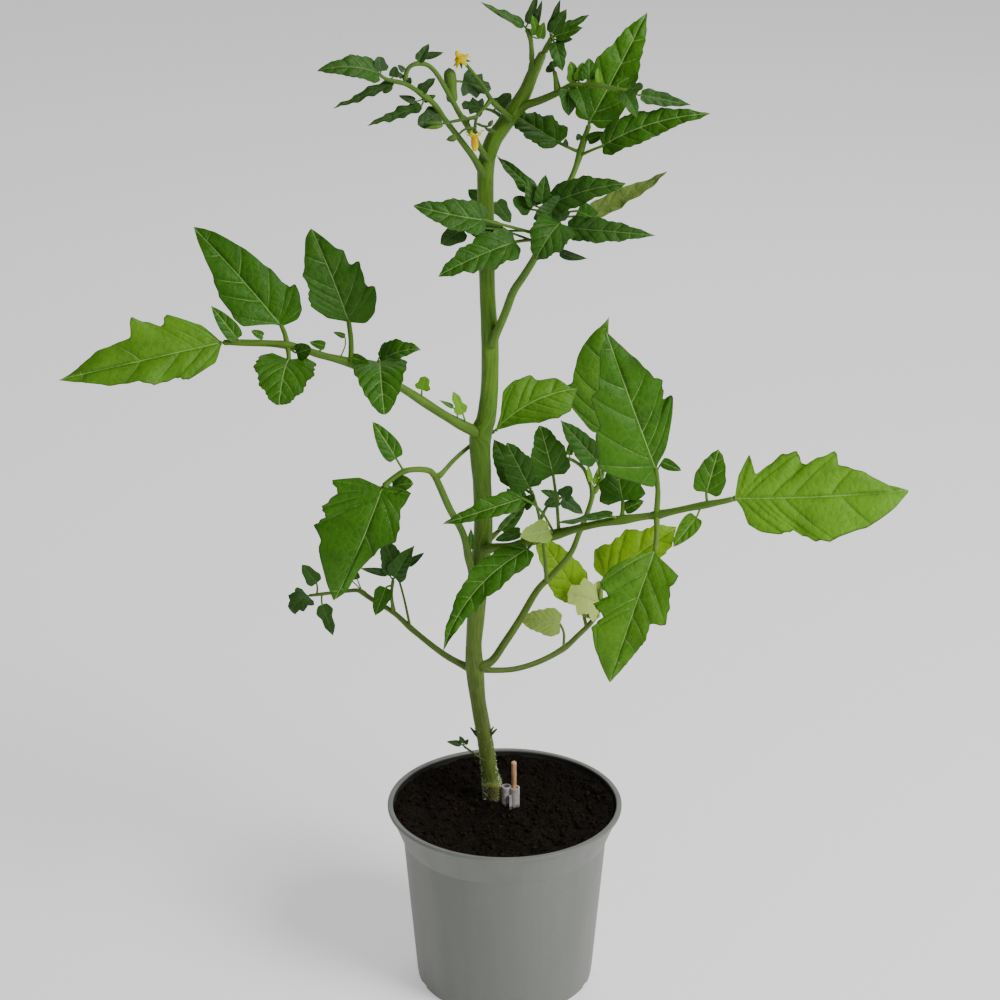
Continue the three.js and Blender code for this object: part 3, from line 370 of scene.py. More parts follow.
def stem_finish(settings):
    """Green bark with streaks along it; the swollen foot below the graft is brown, with
    painted light on its right side.
    """
    recipe = Recipe("stem_skin", Specular_IOR_Level=0.2)
    spot = recipe.spot()
    across, _, height = recipe.parts(spot)
    round_and_along = recipe.read("flat")
    brown, dark, young = recipe.parts(recipe.read("tint"))
    streaks = recipe.cloud(recipe.stretch(round_and_along, (1.0, 0.09, 1.0)), 0.0011, 4.0, 0.6)
    patches = recipe.cloud(spot, 0.016, 3.0)
    specks = recipe.cloud(spot, 0.0008, 3.0, 0.6)
    tone = recipe.lay(settings.low, (height, 0.13, 0.33, 1, settings.green),
                      (streaks, 0.38, 0.66, 0.62, settings.deep),
                      (patches, 0.45, 0.75, 0.35, shade(108, 140, 46)))
    tone = recipe.mix(dark * 0.7, tone, shade(44, 62, 30))
    tone = recipe.mix(young * 0.6, tone, shade(126, 152, 70))
    # The last layer is painted light: the foot is lighter and greener on its right side.
    bark = recipe.lay(settings.stock, (specks, 0.4, 0.7, 1, shade(92, 92, 44)),
                      (patches, 0.4, 0.6, 0.5, shade(44, 36, 22)),
                      (across, -0.009, -0.003, 0.6, shade(96, 104, 40)))
    tone = recipe.mix(brown, tone, bark)
    lip = recipe.rise(height, 0.109, 0.1108) * (1 - recipe.rise(height, 0.1116, 0.1132))
    return recipe.finish(
        Base_Color=recipe.mix(lip * 0.5, tone, shade(136, 152, 62)),
        Roughness=0.46 + 0.22 * patches + 0.25 * brown,
        Normal=recipe.relief(streaks + specks * (0.25 + 1.2 * brown), 0.00022, 0.7),
    )


def leaf_finish(settings):
    """Leaf skin: pale veins with a soft edge, a fine net between them and a paler underside."""
    recipe = Recipe("leaf_skin", Specular_IOR_Level=0.16)
    flat = recipe.read("flat")
    rib, number, apart = recipe.parts(recipe.read("veins"))
    share = recipe.parts(recipe.read("edge"))[0]
    light, under, faded = recipe.parts(recipe.read("tint"))
    dark = -light
    spot = recipe.spot()

    off_vein = number.sum("PINGPONG", number, 0.5) * apart
    past_vein = (number - number.sum("ROUND", number)) * apart
    bent = recipe.cloud(flat, 0.004, 2.0) * 0.0004
    large = recipe.rise(apart, 0.001, 0.006)
    clear = 1 - recipe.rise(dark, -0.05, 0.4) * 0.6
    rib_line = (1 - recipe.rise(rib, 0.00006, 0.00036)) * (0.35 + 0.65 * large)
    side_line = ((1 - recipe.rise(off_vein + bent, 0.00012, 0.0005))
                 * (1 - recipe.rise(share, 0.4, 0.98) * 0.8) * large)
    twigs = recipe.cells(flat, 0.0044)
    twig_line = (1 - recipe.rise(twigs, 0.0, 0.1)) * (1 - share)
    net = recipe.cells(flat, 0.0013)
    furrow = (recipe.rise(past_vein, 0.0001, 0.0006)
              * (1 - recipe.rise(past_vein, 0.0006, 0.0026))).most(
                  (1 - recipe.rise(rib, 0.0004, 0.0018)) * recipe.rise(rib, 0.0002, 0.0005) * 0.8)
    near = 1 - recipe.rise(rib.least(off_vein), 0.0, 0.002)
    patches = recipe.cloud(flat, 0.011, 4.0, 0.6)
    broad = recipe.cloud(spot, 0.045, 2.0)
    fine = recipe.cloud(flat, 0.0007, 2.0)

    tone = recipe.lay(settings.green, (light, 0.0, 0.62, 1, settings.bright),
                      (light, 0.7, 1.0, 1, settings.yellow), (dark, -0.05, 0.62, 1, settings.deep))
    shadow = recipe.mix(1.0, tone, (0.5, 0.58, 0.5), "MULTIPLY")
    sunny = recipe.mix(1.0, tone, (1.5, 1.3, 1.3), "MULTIPLY")
    tone = recipe.lay(tone, (patches, 0.4, 0.7, 0.6, shadow), (broad, 0.42, 0.66, 0.35, sunny))
    tone = recipe.mix(furrow * large * 0.32, tone, shadow)
    tone = recipe.lay(tone, (net, 0.1, 0.5, 0.16, shadow),
                      (share, 0.94, 1.0, 0.62, shade(44, 40, 28)))
    lines = ((rib_line * 0.72).most(side_line * 0.58) * clear).most(twig_line * large * 0.08)
    veined = recipe.lay(settings.vein, (light, 0.7, 1.0, 1, shade(160, 184, 60)),
                        (dark, 0.1, 0.6, 0.55, shade(84, 116, 56)))
    tone = recipe.mix(lines, tone, veined)
    beneath = recipe.lay(settings.pale, (patches, 0.4, 0.7, 0.4, shade(112, 142, 78)),
                         (light, 0.3, 0.9, 0.6, shade(212, 226, 124)),
                         (dark, 0.0, 0.6, 0.6, shade(66, 92, 48)))
    beneath = recipe.mix(lines * 0.7, beneath, shade(178, 196, 140))
    height = (recipe.rise(twigs, 0.0, 0.35) * 0.4 + recipe.rise(net, 0.0, 0.5) * 0.22
              + fine * 0.1 + near * -0.6)
    return recipe.finish(
        Base_Color=recipe.mix(under.most(faded * 0.9), tone, beneath),
        Roughness=0.44 + 0.14 * patches + 0.16 * under,
        Normal=recipe.relief(height, 0.0005, 0.8),
    )


def petal_finish(settings):
    """Yellow petals with fine lines along them; the cone of stamens is more orange."""
    recipe = Recipe("petal_skin", Specular_IOR_Level=0.05)
    cone, reach, _ = recipe.parts(recipe.read("tint"))
    lines = recipe.cloud(recipe.stretch(recipe.read("flat"), (0.15, 1.0, 1.0)), 0.00035, 3.0)
    petal = recipe.lay(settings.petal, (reach, 0.1, 1.0, 0.6, shade(216, 206, 2)),
                       (lines, 0.4, 0.7, 0.45, shade(186, 148, 0)))
    amber = recipe.lay(settings.cone, (lines, 0.4, 0.7, 0.5, shade(186, 124, 0)),
                       (reach, 0.35, 0.9, 0.85, shade(210, 196, 0)))
    return recipe.finish(
        Base_Color=recipe.mix(cone, petal, amber),
        Roughness=0.5 + 0.15 * lines,
        Normal=recipe.relief(lines, 0.0001, 0.6),
    )


def silicone_finish(settings):
    """Cloudy silicone with faint mould lines and a little soil on its foot."""
    recipe = Recipe("cloudy_silicone", Specular_IOR_Level=0.5, Subsurface_Weight=0.2,
                    Subsurface_Radius=(0.002, 0.002, 0.002))
    spot = recipe.spot()
    cloudy = recipe.cloud(spot, 0.0022, 4.0)
    lines = recipe.cloud(recipe.stretch(spot, (1.0, 1.0, 0.08)), 0.0007, 3.0)
    foot = recipe.cloud(spot, 0.0011, 4.0, 0.7)
    streaks = recipe.cloud(recipe.stretch(spot, (1.0, 1.0, 0.12)), 0.0014, 3.0, 0.6)
    low = 1 - recipe.rise(recipe.parts(spot)[2], 0.0975, 0.1015)
    return recipe.finish(
        Base_Color=recipe.lay(settings.silicone, (cloudy, 0.35, 0.7, 0.6, shade(124, 121, 120)),
                              (lines, 0.45, 0.7, 0.35, shade(206, 208, 214)),
                              (streaks, 0.54, 0.68, 0.6, shade(76, 76, 78)),
                              (foot + low * 0.4, 0.66, 0.84, 0.75, shade(58, 44, 30))),
        Roughness=0.34 + 0.22 * cloudy,
        Normal=recipe.relief(cloudy * 0.5 + lines, 0.00012, 0.6),
    )


def wood_finish(settings):
    """Split soft wood with its grain along the stick and a paler broken end."""
    recipe = Recipe("split_wood", Specular_IOR_Level=0.3)
    spot = recipe.spot()
    grain = recipe.cloud(recipe.stretch(spot, (1.0, 1.0, 0.05)), 0.0005, 4.0, 0.65)
    stain = recipe.cloud(recipe.stretch(spot, (1.0, 1.0, 0.3)), 0.0035, 3.0)
    return recipe.finish(
        Base_Color=recipe.lay(settings.wood, (grain, 0.4, 0.65, 0.6, shade(152, 104, 66)),
                              (stain, 0.5, 0.75, 0.4, shade(120, 86, 60)),
                              (recipe.parts(spot)[2], 0.1238, 0.1256, 0.7, shade(226, 196, 162))),
        Roughness=0.62 + 0.25 * grain,
        Normal=recipe.relief(grain, 0.0002, 0.8),
    )


def hair_finish(settings):
    """Fine hairs, too thin to carry a pattern."""
    return Recipe("plant_hair", Base_Color=settings.hair, Roughness=0.55).material


def floor_finish(settings):
    """Matt paper for the floor and backdrop."""
    recipe = Recipe("backdrop_paper", Specular_IOR_Level=0.15, Emission_Color=(1, 1, 1),
                    Emission_Strength=settings.glow)
    mottle = recipe.cloud(recipe.spot(), 0.35, 2.0)
    darker = tuple(0.94 * part for part in settings.floor)
    return recipe.finish(
        Base_Color=recipe.mix(mottle * 0.06, settings.floor, darker),
        Roughness=0.85 + 0.05 * mottle,
    )


# Meshes


class Shape:
    """Gathers the closed bodies of one piece, with what the material reads at each point."""

    def __init__(self, *reads):
        self.reads = {name: [] for name in reads}
        self.points = []
        self.faces = []
        self.count = 0

    def add(self, points, faces, **reads):
        """Adds one closed body and turns its faces outward."""
        points = np.asarray(points, float).reshape(-1, 3)
        if enclosed(points, faces) < 0:
            faces = [face[::-1] for face in faces]
        self.points.append(points)
        self.faces += [tuple(corner + self.count for corner in face) for face in faces]
        self.count += len(points)
        for name, kept in self.reads.items():
            kept.append(np.broadcast_to(np.asarray(reads[name], float), (len(points), 3)))

    def piece(self, name, material, node, slot, sharp=math.radians(50)):
        """Makes the mesh, which stands for the node where one is named; the slot is not used."""
        mesh = bpy.data.meshes.new(name)
        mesh.from_pydata(np.concatenate(self.points).tolist(), [], self.faces)
        for title, kept in self.reads.items():
            layer = mesh.attributes.new(title, "FLOAT_VECTOR", "POINT")
            layer.data.foreach_set("vector", np.concatenate(kept).astype(np.float32).ravel())
        mesh.materials.append(material)
        mesh.polygons.foreach_set("use_smooth", [True] * len(mesh.polygons))
        mesh.set_sharp_from_angle(angle=sharp)
        made = placed(name, mesh)
        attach(made, "root")
        if node:
            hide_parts(node)
        return made


def enclosed(points, faces):
    """Six times the volume inside the faces, which is below 0 if they look inward."""
    middle = points.mean(0)
    three = [face[:3] for face in faces]
    three += [(face[0], face[2], face[3]) for face in faces if len(face) == 4]
    a, b, c = (points[np.array(three)[:, corner]] - middle for corner in range(3))
    return float(np.einsum("ij,ij->i", a, np.cross(b, c)).sum())


def placed(name, data):
    """A new object in the scene, made of a mesh, a lamp or a camera."""
    made = bpy.data.objects.new(name, data)
    bpy.context.scene.collection.objects.link(made)
    return made


def unit(vector):
    return vector / np.linalg.norm(vector)


def turned(vector, axis, angle):
    """A vector turned about an axis that it stands square to."""
    return vector * math.cos(angle) + np.cross(axis, vector) * math.sin(angle)


def circle(count):
    """The angles of that many points around a circle."""
    return np.linspace(0, 2 * math.pi, count, endpoint=False)


def ring(radius, height, turns, x=0, y=0):
    """Points of a ring that lies around (x, y)."""
    return np.stack([x + radius * np.cos(turns), y + radius * np.sin(turns),
                     np.broadcast_to(height, turns.shape)], 1)


def both_sides(vectors):
    """The vectors of a sheet's upper side, once for each of its sides."""
    return np.tile(vectors.reshape(-1, 3), (2, 1))


def smooth_step(value, low, high):
    """0 below low, 1 above high and smooth between."""
    share = np.clip((value - low) / (high - low), 0, 1)
    return share * share * (3 - 2 * share)


def band(rows, around):
    """Quads of a tube of rings: rows of points, each closed around."""
    quads = []
    for row in range(rows - 1):
        for side in range(around):
            after = (side + 1) % around
            low = row * around
            quads.append((low + side, low + after, low + around + after, low + around + side))
    return quads


def tube_faces(rows, around):
    """A band with both ends closed by a fan around the first and the last ring's middle."""
    faces = band(rows, around)
    start, end = rows * around, rows * around + 1
    last = (rows - 1) * around
    for side in range(around):
        after = (side + 1) % around
        faces.append((after, side, start))
        faces.append((last + side, last + after, end))
    return faces


class Line:
    """A smooth curve through points given in millimetres, with a radius that changes along it.
    What it gives back is in metres."""

    def __init__(self, points, radii):
        self.spans = len(points) - 1
        inner = np.array(points, float) * MM
        self.points = np.vstack([2 * inner[0] - inner[1], inner, 2 * inner[-1] - inner[-2]])
        self.radii = np.array(radii, float) * MM

    def near(self, where):
        """The four points around a place, and how far it lies between the middle two."""
        where = min(max(where, 0.0), self.spans)
        span = min(int(where), self.spans - 1)
        return self.points[span:span + 4], where - span

    def point(self, where):
        (a, b, c, d), t = self.near(where)
        return 0.5 * (2 * b + (c - a) * t + (2 * a - 5 * b + 4 * c - d) * t * t
                      + (3 * b - a - 3 * c + d) * t ** 3)

    def tangent(self, where):
        (a, b, c, d), t = self.near(where)
        return unit((c - a) + 2 * (2 * a - 5 * b + 4 * c - d) * t
                    + 3 * (3 * b - a - 3 * c + d) * t * t)

    def radius(self, where):
        if len(self.radii) == 2:
            return self.radii[0] + (self.radii[1] - self.radii[0]) * where / self.spans
        return float(np.interp(where, range(len(self.radii)), self.radii))

    def plain(self, where, run, turns):
        """The form of a tube that is round and smooth."""
        return self.radius(where) + 0 * turns

    def places(self, step):
        """Places along the curve about one step apart, and how far along each lies."""
        fine = np.linspace(0, self.spans, self.spans * 12 + 1)
        spots = np.array([self.point(where) for where in fine])
        run = np.concatenate([[0], np.cumsum(np.linalg.norm(np.diff(spots, axis=0), axis=1))])
        count = max(4, round(run[-1] / step))
        along = np.linspace(0, run[-1], count + 1)
        return np.interp(along, run, fine), along


def rings_along(line, step, around, form):
    """A tube along a line: its points, its skin rolled out flat and its faces. The form gives
    the radius at a place, a run along the line and turns around it. The turn is 0 on the side
    that looks up, or to the front where the line itself runs up."""
    where, along = line.places(step)
    turns = circle(around)
    points, flat = [], []
    for spot, run in zip(where, along):
        middle, tangent = line.point(spot), line.tangent(spot)
        high = UP - tangent * (UP @ tangent)
        front = np.array([0.0, -1.0, 0.0])
        high = unit(high + (front - tangent * (front @ tangent)) * 0.3)
        beside = np.cross(tangent, high)
        radius = form(spot, run, turns)
        points.append(middle + np.outer(radius * np.cos(turns), high)
                      + np.outer(radius * np.sin(turns), beside))
        flat.append(np.stack([np.sin(turns) * radius.mean(), np.full(around, run),
                              np.cos(turns) * radius.mean()], 1))
    ends = [line.point(where[0]), line.point(where[-1])]
    points = np.concatenate([*points, ends])
    flat = np.concatenate([*flat, [[0, along[0], 0], [0, along[-1], 0]]])
    return points, flat, tube_faces(len(where), around)


def closed_sheet(top, under):
    """Points and faces of a thin body between two grids of equal size."""
    rows, across = top.shape[:2]
    size = rows * across
    faces = []
    for row in range(rows - 1):
        for column in range(across - 1):
            a = row * across + column
            faces.append((a, a + 1, a + across + 1, a + across))
            faces.append((size + a, size + a + across, size + a + across + 1, size + a + 1))
    edge = ([(0, column) for column in range(across - 1)]
            + [(row, across - 1) for row in range(rows - 1)]
            + [(rows - 1, column) for column in range(across - 1, 0, -1)]
            + [(row, 0) for row in range(rows - 1, 0, -1)])
    corners = [row * across + column for row, column in edge]
    for here, after in zip(corners, corners[1:] + corners[:1]):
        faces.append((here, size + here, size + after, after))
    return np.concatenate([top.reshape(-1, 3), under.reshape(-1, 3)]), faces


# Leaf tables


def leaflet(on, where, base, tip, width, **shape):
    """One leaflet: the stalk that bears it, its place there, its two ends, width and shape.
    Its midrib bows to the front and to the side, its halves fold up and it may turn about its
    length, in degrees. It has a drawn margin, or lobes with cuts between them as a share of the
    width. The tone runs from -1, dark, to 1, yellow, and a faded leaflet is as pale as its
    underside."""
    return {"on": on, "where": where, "base": base, "tip": tip, "width": width, **shape}


def stalk(points, *radii):
    """A stalk's middle line and its radius at both ends, or at each point."""
    return points, radii


STEM = stalk(
    [(-7, 17, 80), (-7, 16.5, 97), (-7, 16, 107), (-7.3, 16, 111), (-8.2, 16, 115),
     (-11, 14.3, 138), (-14.8, 13, 163), (-16.5, 11, 184), (-16.8, 10, 198), (-15.5, 8.5, 217),
     (-13, 7, 250), (-11.4, 6, 270), (-12, 5.3, 295), (-13, 4, 320), (-10, 3, 332),
     (-8, 1.6, 352), (-7.8, 0.6, 378), (-9, 0, 402), (-9.6, 0, 432), (-10, 0, 457),
     (-9.5, 0, 470), (-6, 0, 481), (-1.5, 0, 488), (4.4, 0, 496.5), (10, 0, 506), (13.5, -0.8, 515),
     (16.5, -2, 521.5), (19, -3, 527)],
    4.8, 5.2, 5, 5.1, 4.6, 4.4, 4.3, 5.1, 4.4, 4.9, 5.1, 5, 4.8, 5.8, 5, 4.4, 4.5, 4, 4.2, 4.3,
    4.3, 4.3, 4.2, 4.2, 3.5, 3, 2.5, 2,
)

# Hairs of the stem: how many, how long as a share of a usual hair, from where to where as
# shares of the stem, and their radius in metres where it isn't the usual one.
STEM_HAIRS = [
    (4200, 0.8, 0.14, 1.0, 0.000035),
    (1500, 1.4, 0.045, 0.2),
    (1300, 1.7, 0.035, 0.14),
]

# Withered leaf stubs low on the stem: foot, tip and widest radius.
STUBS = [
    ((-13.5, 13.5, 138.5), (-19, 13.5, 146), 1.0),
    ((-8.8, 12.5, 140.5), (-4.3, 13, 145.4), 0.85),
    ((-9, 12.5, 141.5), (-6.2, 12.5, 147), 0.6),
]

# Margins of the largest leaflets, as shares of their length: how far along, how far out.
MARGINS = {
    "end_right": {
        "left": [(0.03, 0.14), (0.096, 0.245), (0.13, 0.145), (0.265, 0.245), (0.37, 0.262),
                 (0.41, 0.19), (0.6, 0.245), (0.62, 0.175), (0.74, 0.13), (0.87, 0.05)],
        "right": [(0.05, 0.07), (0.08, 0.155), (0.15, 0.2), (0.275, 0.216), (0.34, 0.198),
                  (0.45, 0.255), (0.56, 0.262), (0.72, 0.205), (0.8, 0.18), (0.91, 0.095)],
    },
    "end_left": {
        "left": [(0.07, 0.12), (0.25, 0.18), (0.31, 0.155), (0.45, 0.165), (0.53, 0.13),
                 (0.7, 0.11), (0.87, 0.05)],
        "right": [(0.1, 0.13), (0.29, 0.235), (0.33, 0.18), (0.5, 0.265), (0.53, 0.145),
                  (0.72, 0.12), (0.87, 0.05)],
    },
    "upper_tall": {
        "left": [(0.05, 0.04), (0.11, 0.12), (0.18, 0.225), (0.29, 0.235), (0.46, 0.212),
                 (0.56, 0.18), (0.65, 0.14), (0.8, 0.085), (0.92, 0.035)],
        "right": [(-0.04, 0.12), (0, 0.195), (0.09, 0.25), (0.175, 0.265), (0.19, 0.225),
                  (0.32, 0.213), (0.47, 0.19), (0.7, 0.145), (0.88, 0.08)],
    },
    "upper_toothed": {
        "left": [(0.06, 0.1), (0.12, 0.19), (0.2, 0.25), (0.29, 0.295), (0.38, 0.285),
                 (0.45, 0.25), (0.6, 0.26), (0.68, 0.21), (0.8, 0.16), (0.92, 0.09)],
        "right": [(-0.07, 0.15), (0, 0.27), (0.11, 0.33), (0.235, 0.34), (0.27, 0.28),
                  (0.52, 0.295), (0.53, 0.21), (0.69, 0.195), (0.72, 0.145), (0.88, 0.06)],
    },
    "tall_centre": {
        "left": [(-0.1, 0.05), (-0.05, 0.13), (0.06, 0.265), (0.19, 0.35), (0.37, 0.3),
                 (0.45, 0.25), (0.64, 0.235), (0.67, 0.17), (0.78, 0.125), (0.91, 0.075)],
        "right": [(0.04, 0.03), (0.1, 0.09), (0.2, 0.16), (0.33, 0.225), (0.45, 0.265),
                  (0.44, 0.21), (0.57, 0.24), (0.61, 0.195), (0.76, 0.135), (0.9, 0.06)],
    },
    "tall_back": {
        "left": [(0.02, 0.07), (0.15, 0.15), (0.35, 0.25), (0.46, 0.245), (0.5, 0.2),
                 (0.66, 0.185), (0.82, 0.125), (0.92, 0.06)],
        "right": [(0.05, 0.1), (0.15, 0.2), (0.3, 0.25), (0.45, 0.22), (0.6, 0.16),
                  (0.75, 0.08), (0.85, 0.03), (0.93, 0.012)],
    },
    "fan_left": {
        "left": [(0.12, 0.08), (0.18, 0.15), (0.27, 0.26), (0.46, 0.29), (0.63, 0.27),
                 (0.66, 0.205), (0.85, 0.16), (0.93, 0.06)],
        "right": [(0.1, 0.06), (0.24, 0.124), (0.36, 0.19), (0.45, 0.25), (0.58, 0.26),
                  (0.68, 0.28), (0.83, 0.24), (0.93, 0.1)],
    },
    "broad_right": {
        "left": [(0.06, 0.06), (0.12, 0.21), (0.21, 0.185), (0.33, 0.22), (0.47, 0.23),
                 (0.5, 0.14), (0.63, 0.14), (0.83, 0.07)],
        "right": [(0.1, 0.12), (0.2, 0.235), (0.34, 0.27), (0.4, 0.2), (0.5, 0.27),
                  (0.56, 0.185), (0.67, 0.23), (0.83, 0.135)],
    },
    "broad_left": {
        "left": [(-0.06, 0.12), (-0.05, 0.23), (0.1, 0.2), (0.22, 0.24), (0.35, 0.245),
                 (0.44, 0.16), (0.53, 0.13), (0.68, 0.07), (0.88, 0.05)],
        "right": [(0, 0.2), (0.11, 0.39), (0.17, 0.32), (0.33, 0.39), (0.38, 0.34),
                  (0.49, 0.395), (0.58, 0.3), (0.7, 0.27), (0.88, 0.12)],
    },
}

# Fronds by the node that each stands for.
FRONDS = {}


def add_frond(name, stalks, leaflets, **look):
    """Adds a frond under the name of the node that it stands for."""
    FRONDS[name] = {"stalks": stalks, "leaflets": leaflets, **look}


add_frond("leaf_upper_left", [
    stalk([(-13, 2, 324), (-21, -1, 329), (-33, -6, 338), (-53, -12, 354), (-66, -14, 361),
          (-79, -16, 369), (-94, -18, 374), (-111, -20, 380), (-135, -22, 382), (-144, -22, 382)],
          2.7, 1.4),
], [
    leaflet(0, 9, (-144, -22, 382), (-226, -34, 366), 36, margin="end_left", bow=3, side=-1, fold=8,
            tone=0.35),
    leaflet(0, 7, (-114, -14, 388), (-159, 4, 435), 34, margin="upper_tall", bow=2, side=0.5,
            fold=12),
    leaflet(0, 5, (-80, -10, 389), (-99, 6, 434), 35, margin="upper_toothed", bow=2, side=0.5,
            fold=10, tone=-0.1),
    leaflet(0, 8, (-136, -22, 384), (-149, -20, 401), 9, fold=20),
    leaflet(0, 7.6, (-123, -21, 385), (-129, -21, 388), 4.5),
    leaflet(0, 7, (-110, -25, 374), (-114, -44, 356), 31, bow=7, fold=4, lobes=4, cut=0.08,
            tone=0.15),
    leaflet(0, 7, (-106, -24, 377), (-98, -28, 381), 9, turn=20),
    leaflet(0, 6.2, (-92, -16, 378), (-100, -15, 380), 5),
    leaflet(0, 5.4, (-82, -12, 382), (-88, -11, 384), 3),
    leaflet(0, 5, (-78, -20, 373), (-69, -24, 372), 6, turn=30),
    leaflet(0, 4.1, (-64, -13, 372), (-55, -10, 378), 5),
    leaflet(0, 4.2, (-64, -20, 371), (-61, -44, 351), 27, bow=7, fold=14, lobes=2, cut=0.06,
            tone=0.1),
    leaflet(0, 3.8, (-64, -14, 369), (-43, -18, 377), 15, lobes=3, fold=24, turn=-20, bow=3),
    leaflet(0, 2.5, (-43, -9, 352), (-41, -8, 359), 8, lobes=2, cut=0.2, tone=0.4),
    leaflet(0, 0.9, (-22, -4, 337), (-27, -6, 350), 7, lobes=2, cut=0.3, tone=0.5),
    leaflet(0, 1.3, (-27, -5, 341), (-34, -8, 346), 2.6),
])

add_frond("leaf_middle_left", [
    stalk([(-16, 4, 239), (-19, -1, 253), (-22, -6, 270), (-29, -14, 288), (-34, -20, 303),
          (-37, -24, 311), (-40, -26, 314), (-46, -30, 316), (-52, -33, 316), (-58, -36, 313),
          (-63, -38, 309)], 2.3, 1.3),
    stalk([(-36, -23, 309), (-33, -18, 309), (-27, -4, 311), (-20, 9, 313), (-12, 14, 317),
          (-5, 12, 322)], 1.4, 1),
], [
    leaflet(0, 10, (-63, -38, 309), (-88, -52, 252), 46, margin="broad_left", bow=5, side=-2,
            tone=0.05),
    leaflet(0, 9.6, (-58, -35, 308), (-47, -38, 311), 12, turn=-20, bow=1),
    leaflet(0, 8, (-56, -30, 322), (-68, -24, 340), 11, fold=16, bow=1),
    leaflet(1, 5, (-5, 12, 322), (38, 24, 341), 29, margin="fan_left", bow=2, fold=8, side=-4,
            tone=0.3),
    leaflet(0, 1.2, (-18, -3, 260), (-18, -5, 273), 4.5),
])

add_frond("leaf_lower_left", [
    stalk([(-17, 12, 183), (-22, 13, 184), (-34, 16, 190), (-50, 22, 201), (-61, 26, 210),
          (-74, 30, 217), (-80, 31, 221), (-87, 33, 220), (-100, 36, 217), (-109, 38, 215)], 2, 0.8),
    stalk([(-61, 26, 210), (-62, 24.5, 221), (-61, 24.5, 231)], 1, 0.7),
], [
    leaflet(0, 9, (-109, 38, 215), (-118, 34, 207), 15, lobes=3, cut=0.2, turn=15, bow=3, tone=-0.4),
    leaflet(0, 8.4, (-104, 39, 222), (-112, 42, 232), 9, lobes=2, cut=0.12, tone=-0.3),
    leaflet(0, 8.1, (-101, 35, 211), (-95, 31, 194), 9, lobes=2, cut=0.25, tone=-0.3),
    leaflet(0, 5.6, (-84, 31, 227), (-88, 32, 229), 4, tone=0.3),
    leaflet(0, 5.7, (-81, 31, 228), (-83, 32, 234), 4, tone=-0.2),
    leaflet(1, 2, (-60, 24, 232), (-49, 19, 253), 12, lobes=2, fold=22, bow=2, tone=-0.2),
    leaflet(0, 3.15, (-59, 26.5, 234), (-66, 28, 253), 14, lobes=2, fold=16, tone=-0.3),
    leaflet(1, 1.9, (-64, 24.5, 234), (-79, 23, 238), 4.5, tone=-0.4),
    leaflet(1, 2, (-53, 25, 239), (-44, 28, 245), 4.5, tone=-0.4),
    leaflet(1, 1.6, (-65, 24, 226), (-71, 20, 211), 10, lobes=2, fold=16, tone=-0.1),
])

add_frond("leaf_lower_back", [
    stalk([(-15, 14, 182), (-7, 20, 178), (6, 28, 175), (20, 36, 176), (33, 44, 180), (41, 48, 186),
          (49, 52, 193), (54, 54, 202)], 1.8, 1.4),
], [
    leaflet(0, 4, (31, 46, 194), (9.5, 50, 194.5), 16, lobes=2, cut=0.08, turn=180, bow=-3, fold=-10,
            tone=0.45, faded=0.55),
    leaflet(0, 7, (53, 54, 204), (35, 50, 211), 23, lobes=3, cut=0.25, turn=180, bow=-3, tone=0.68,
            faded=1),
    leaflet(0, 6.4, (53, 54, 199), (41, 50, 200), 10, turn=180, tone=0.5, faded=1),
], slot="leaf_pale")

add_frond("leaf_right_front", [
    stalk([(-11, 2, 258), (-5, -5, 262), (3, -11, 265), (13, -16, 270), (32, -24, 279),
          (49, -30, 286), (70, -36, 292), (78, -38, 294), (95, -43, 300), (111, -47, 305),
          (117, -48, 307)], 2.6, 1.5),
], [
    leaflet(0, 10, (117, -48, 307), (203, -62, 317), 50, margin="end_right", bow=2.9, side=2,
            tone=0.48),
    leaflet(0, 8.5, (103, -42, 308), (109, -38, 330), 16, fold=12, tone=0.1),
    leaflet(0, 8.3, (98, -46, 296), (86, -52, 282), 10, fold=12, tone=0.2),
    leaflet(0, 7, (77, -50, 280), (54, -66, 212), 43, margin="broad_right", bow=5, fold=10, tone=0.2),
    leaflet(0, 7, (77, -41, 320), (51, -30, 390), 44, margin="tall_centre", bow=4, fold=8, side=-1,
            tone=0.15),
    leaflet(0, 7.1, (80, -40, 324), (90, -42, 320), 6, turn=30),
    leaflet(0, 3.8, (25, -20, 309), (18, -16, 335), 20, lobes=3, cut=0.08, fold=14, bow=2),
    leaflet(0, 3.7, (9, -30, 300), (-32, -36, 288), 13, lobes=3, turn=10, fold=18, bow=2, side=-1),
    leaflet(0, 3.2, (12, -26, 270), (-32.5, -40, 218), 18, lobes=4, fold=12, bow=3, side=6.5),
    leaflet(0, 2.6, (8, -17, 275), (-5, -16, 271), 11, turn=40, tone=-0.2),
    leaflet(0, 3.6, (23, -30, 282), (8, -36, 281), 12.5, lobes=2, turn=180, fold=-10, tone=0.2,
            faded=0.8),
    leaflet(0, 5.4, (55, -36, 292.5), (27, -33, 287.5), 15, lobes=2, turn=60, fold=8, tone=0.1),
    leaflet(0, 5.5, (61, -28, 298), (58, -20, 313), 24, lobes=3, cut=0.12, fold=10),
    leaflet(0, 5.6, (62, -28, 293), (72, -26, 297), 7),
])

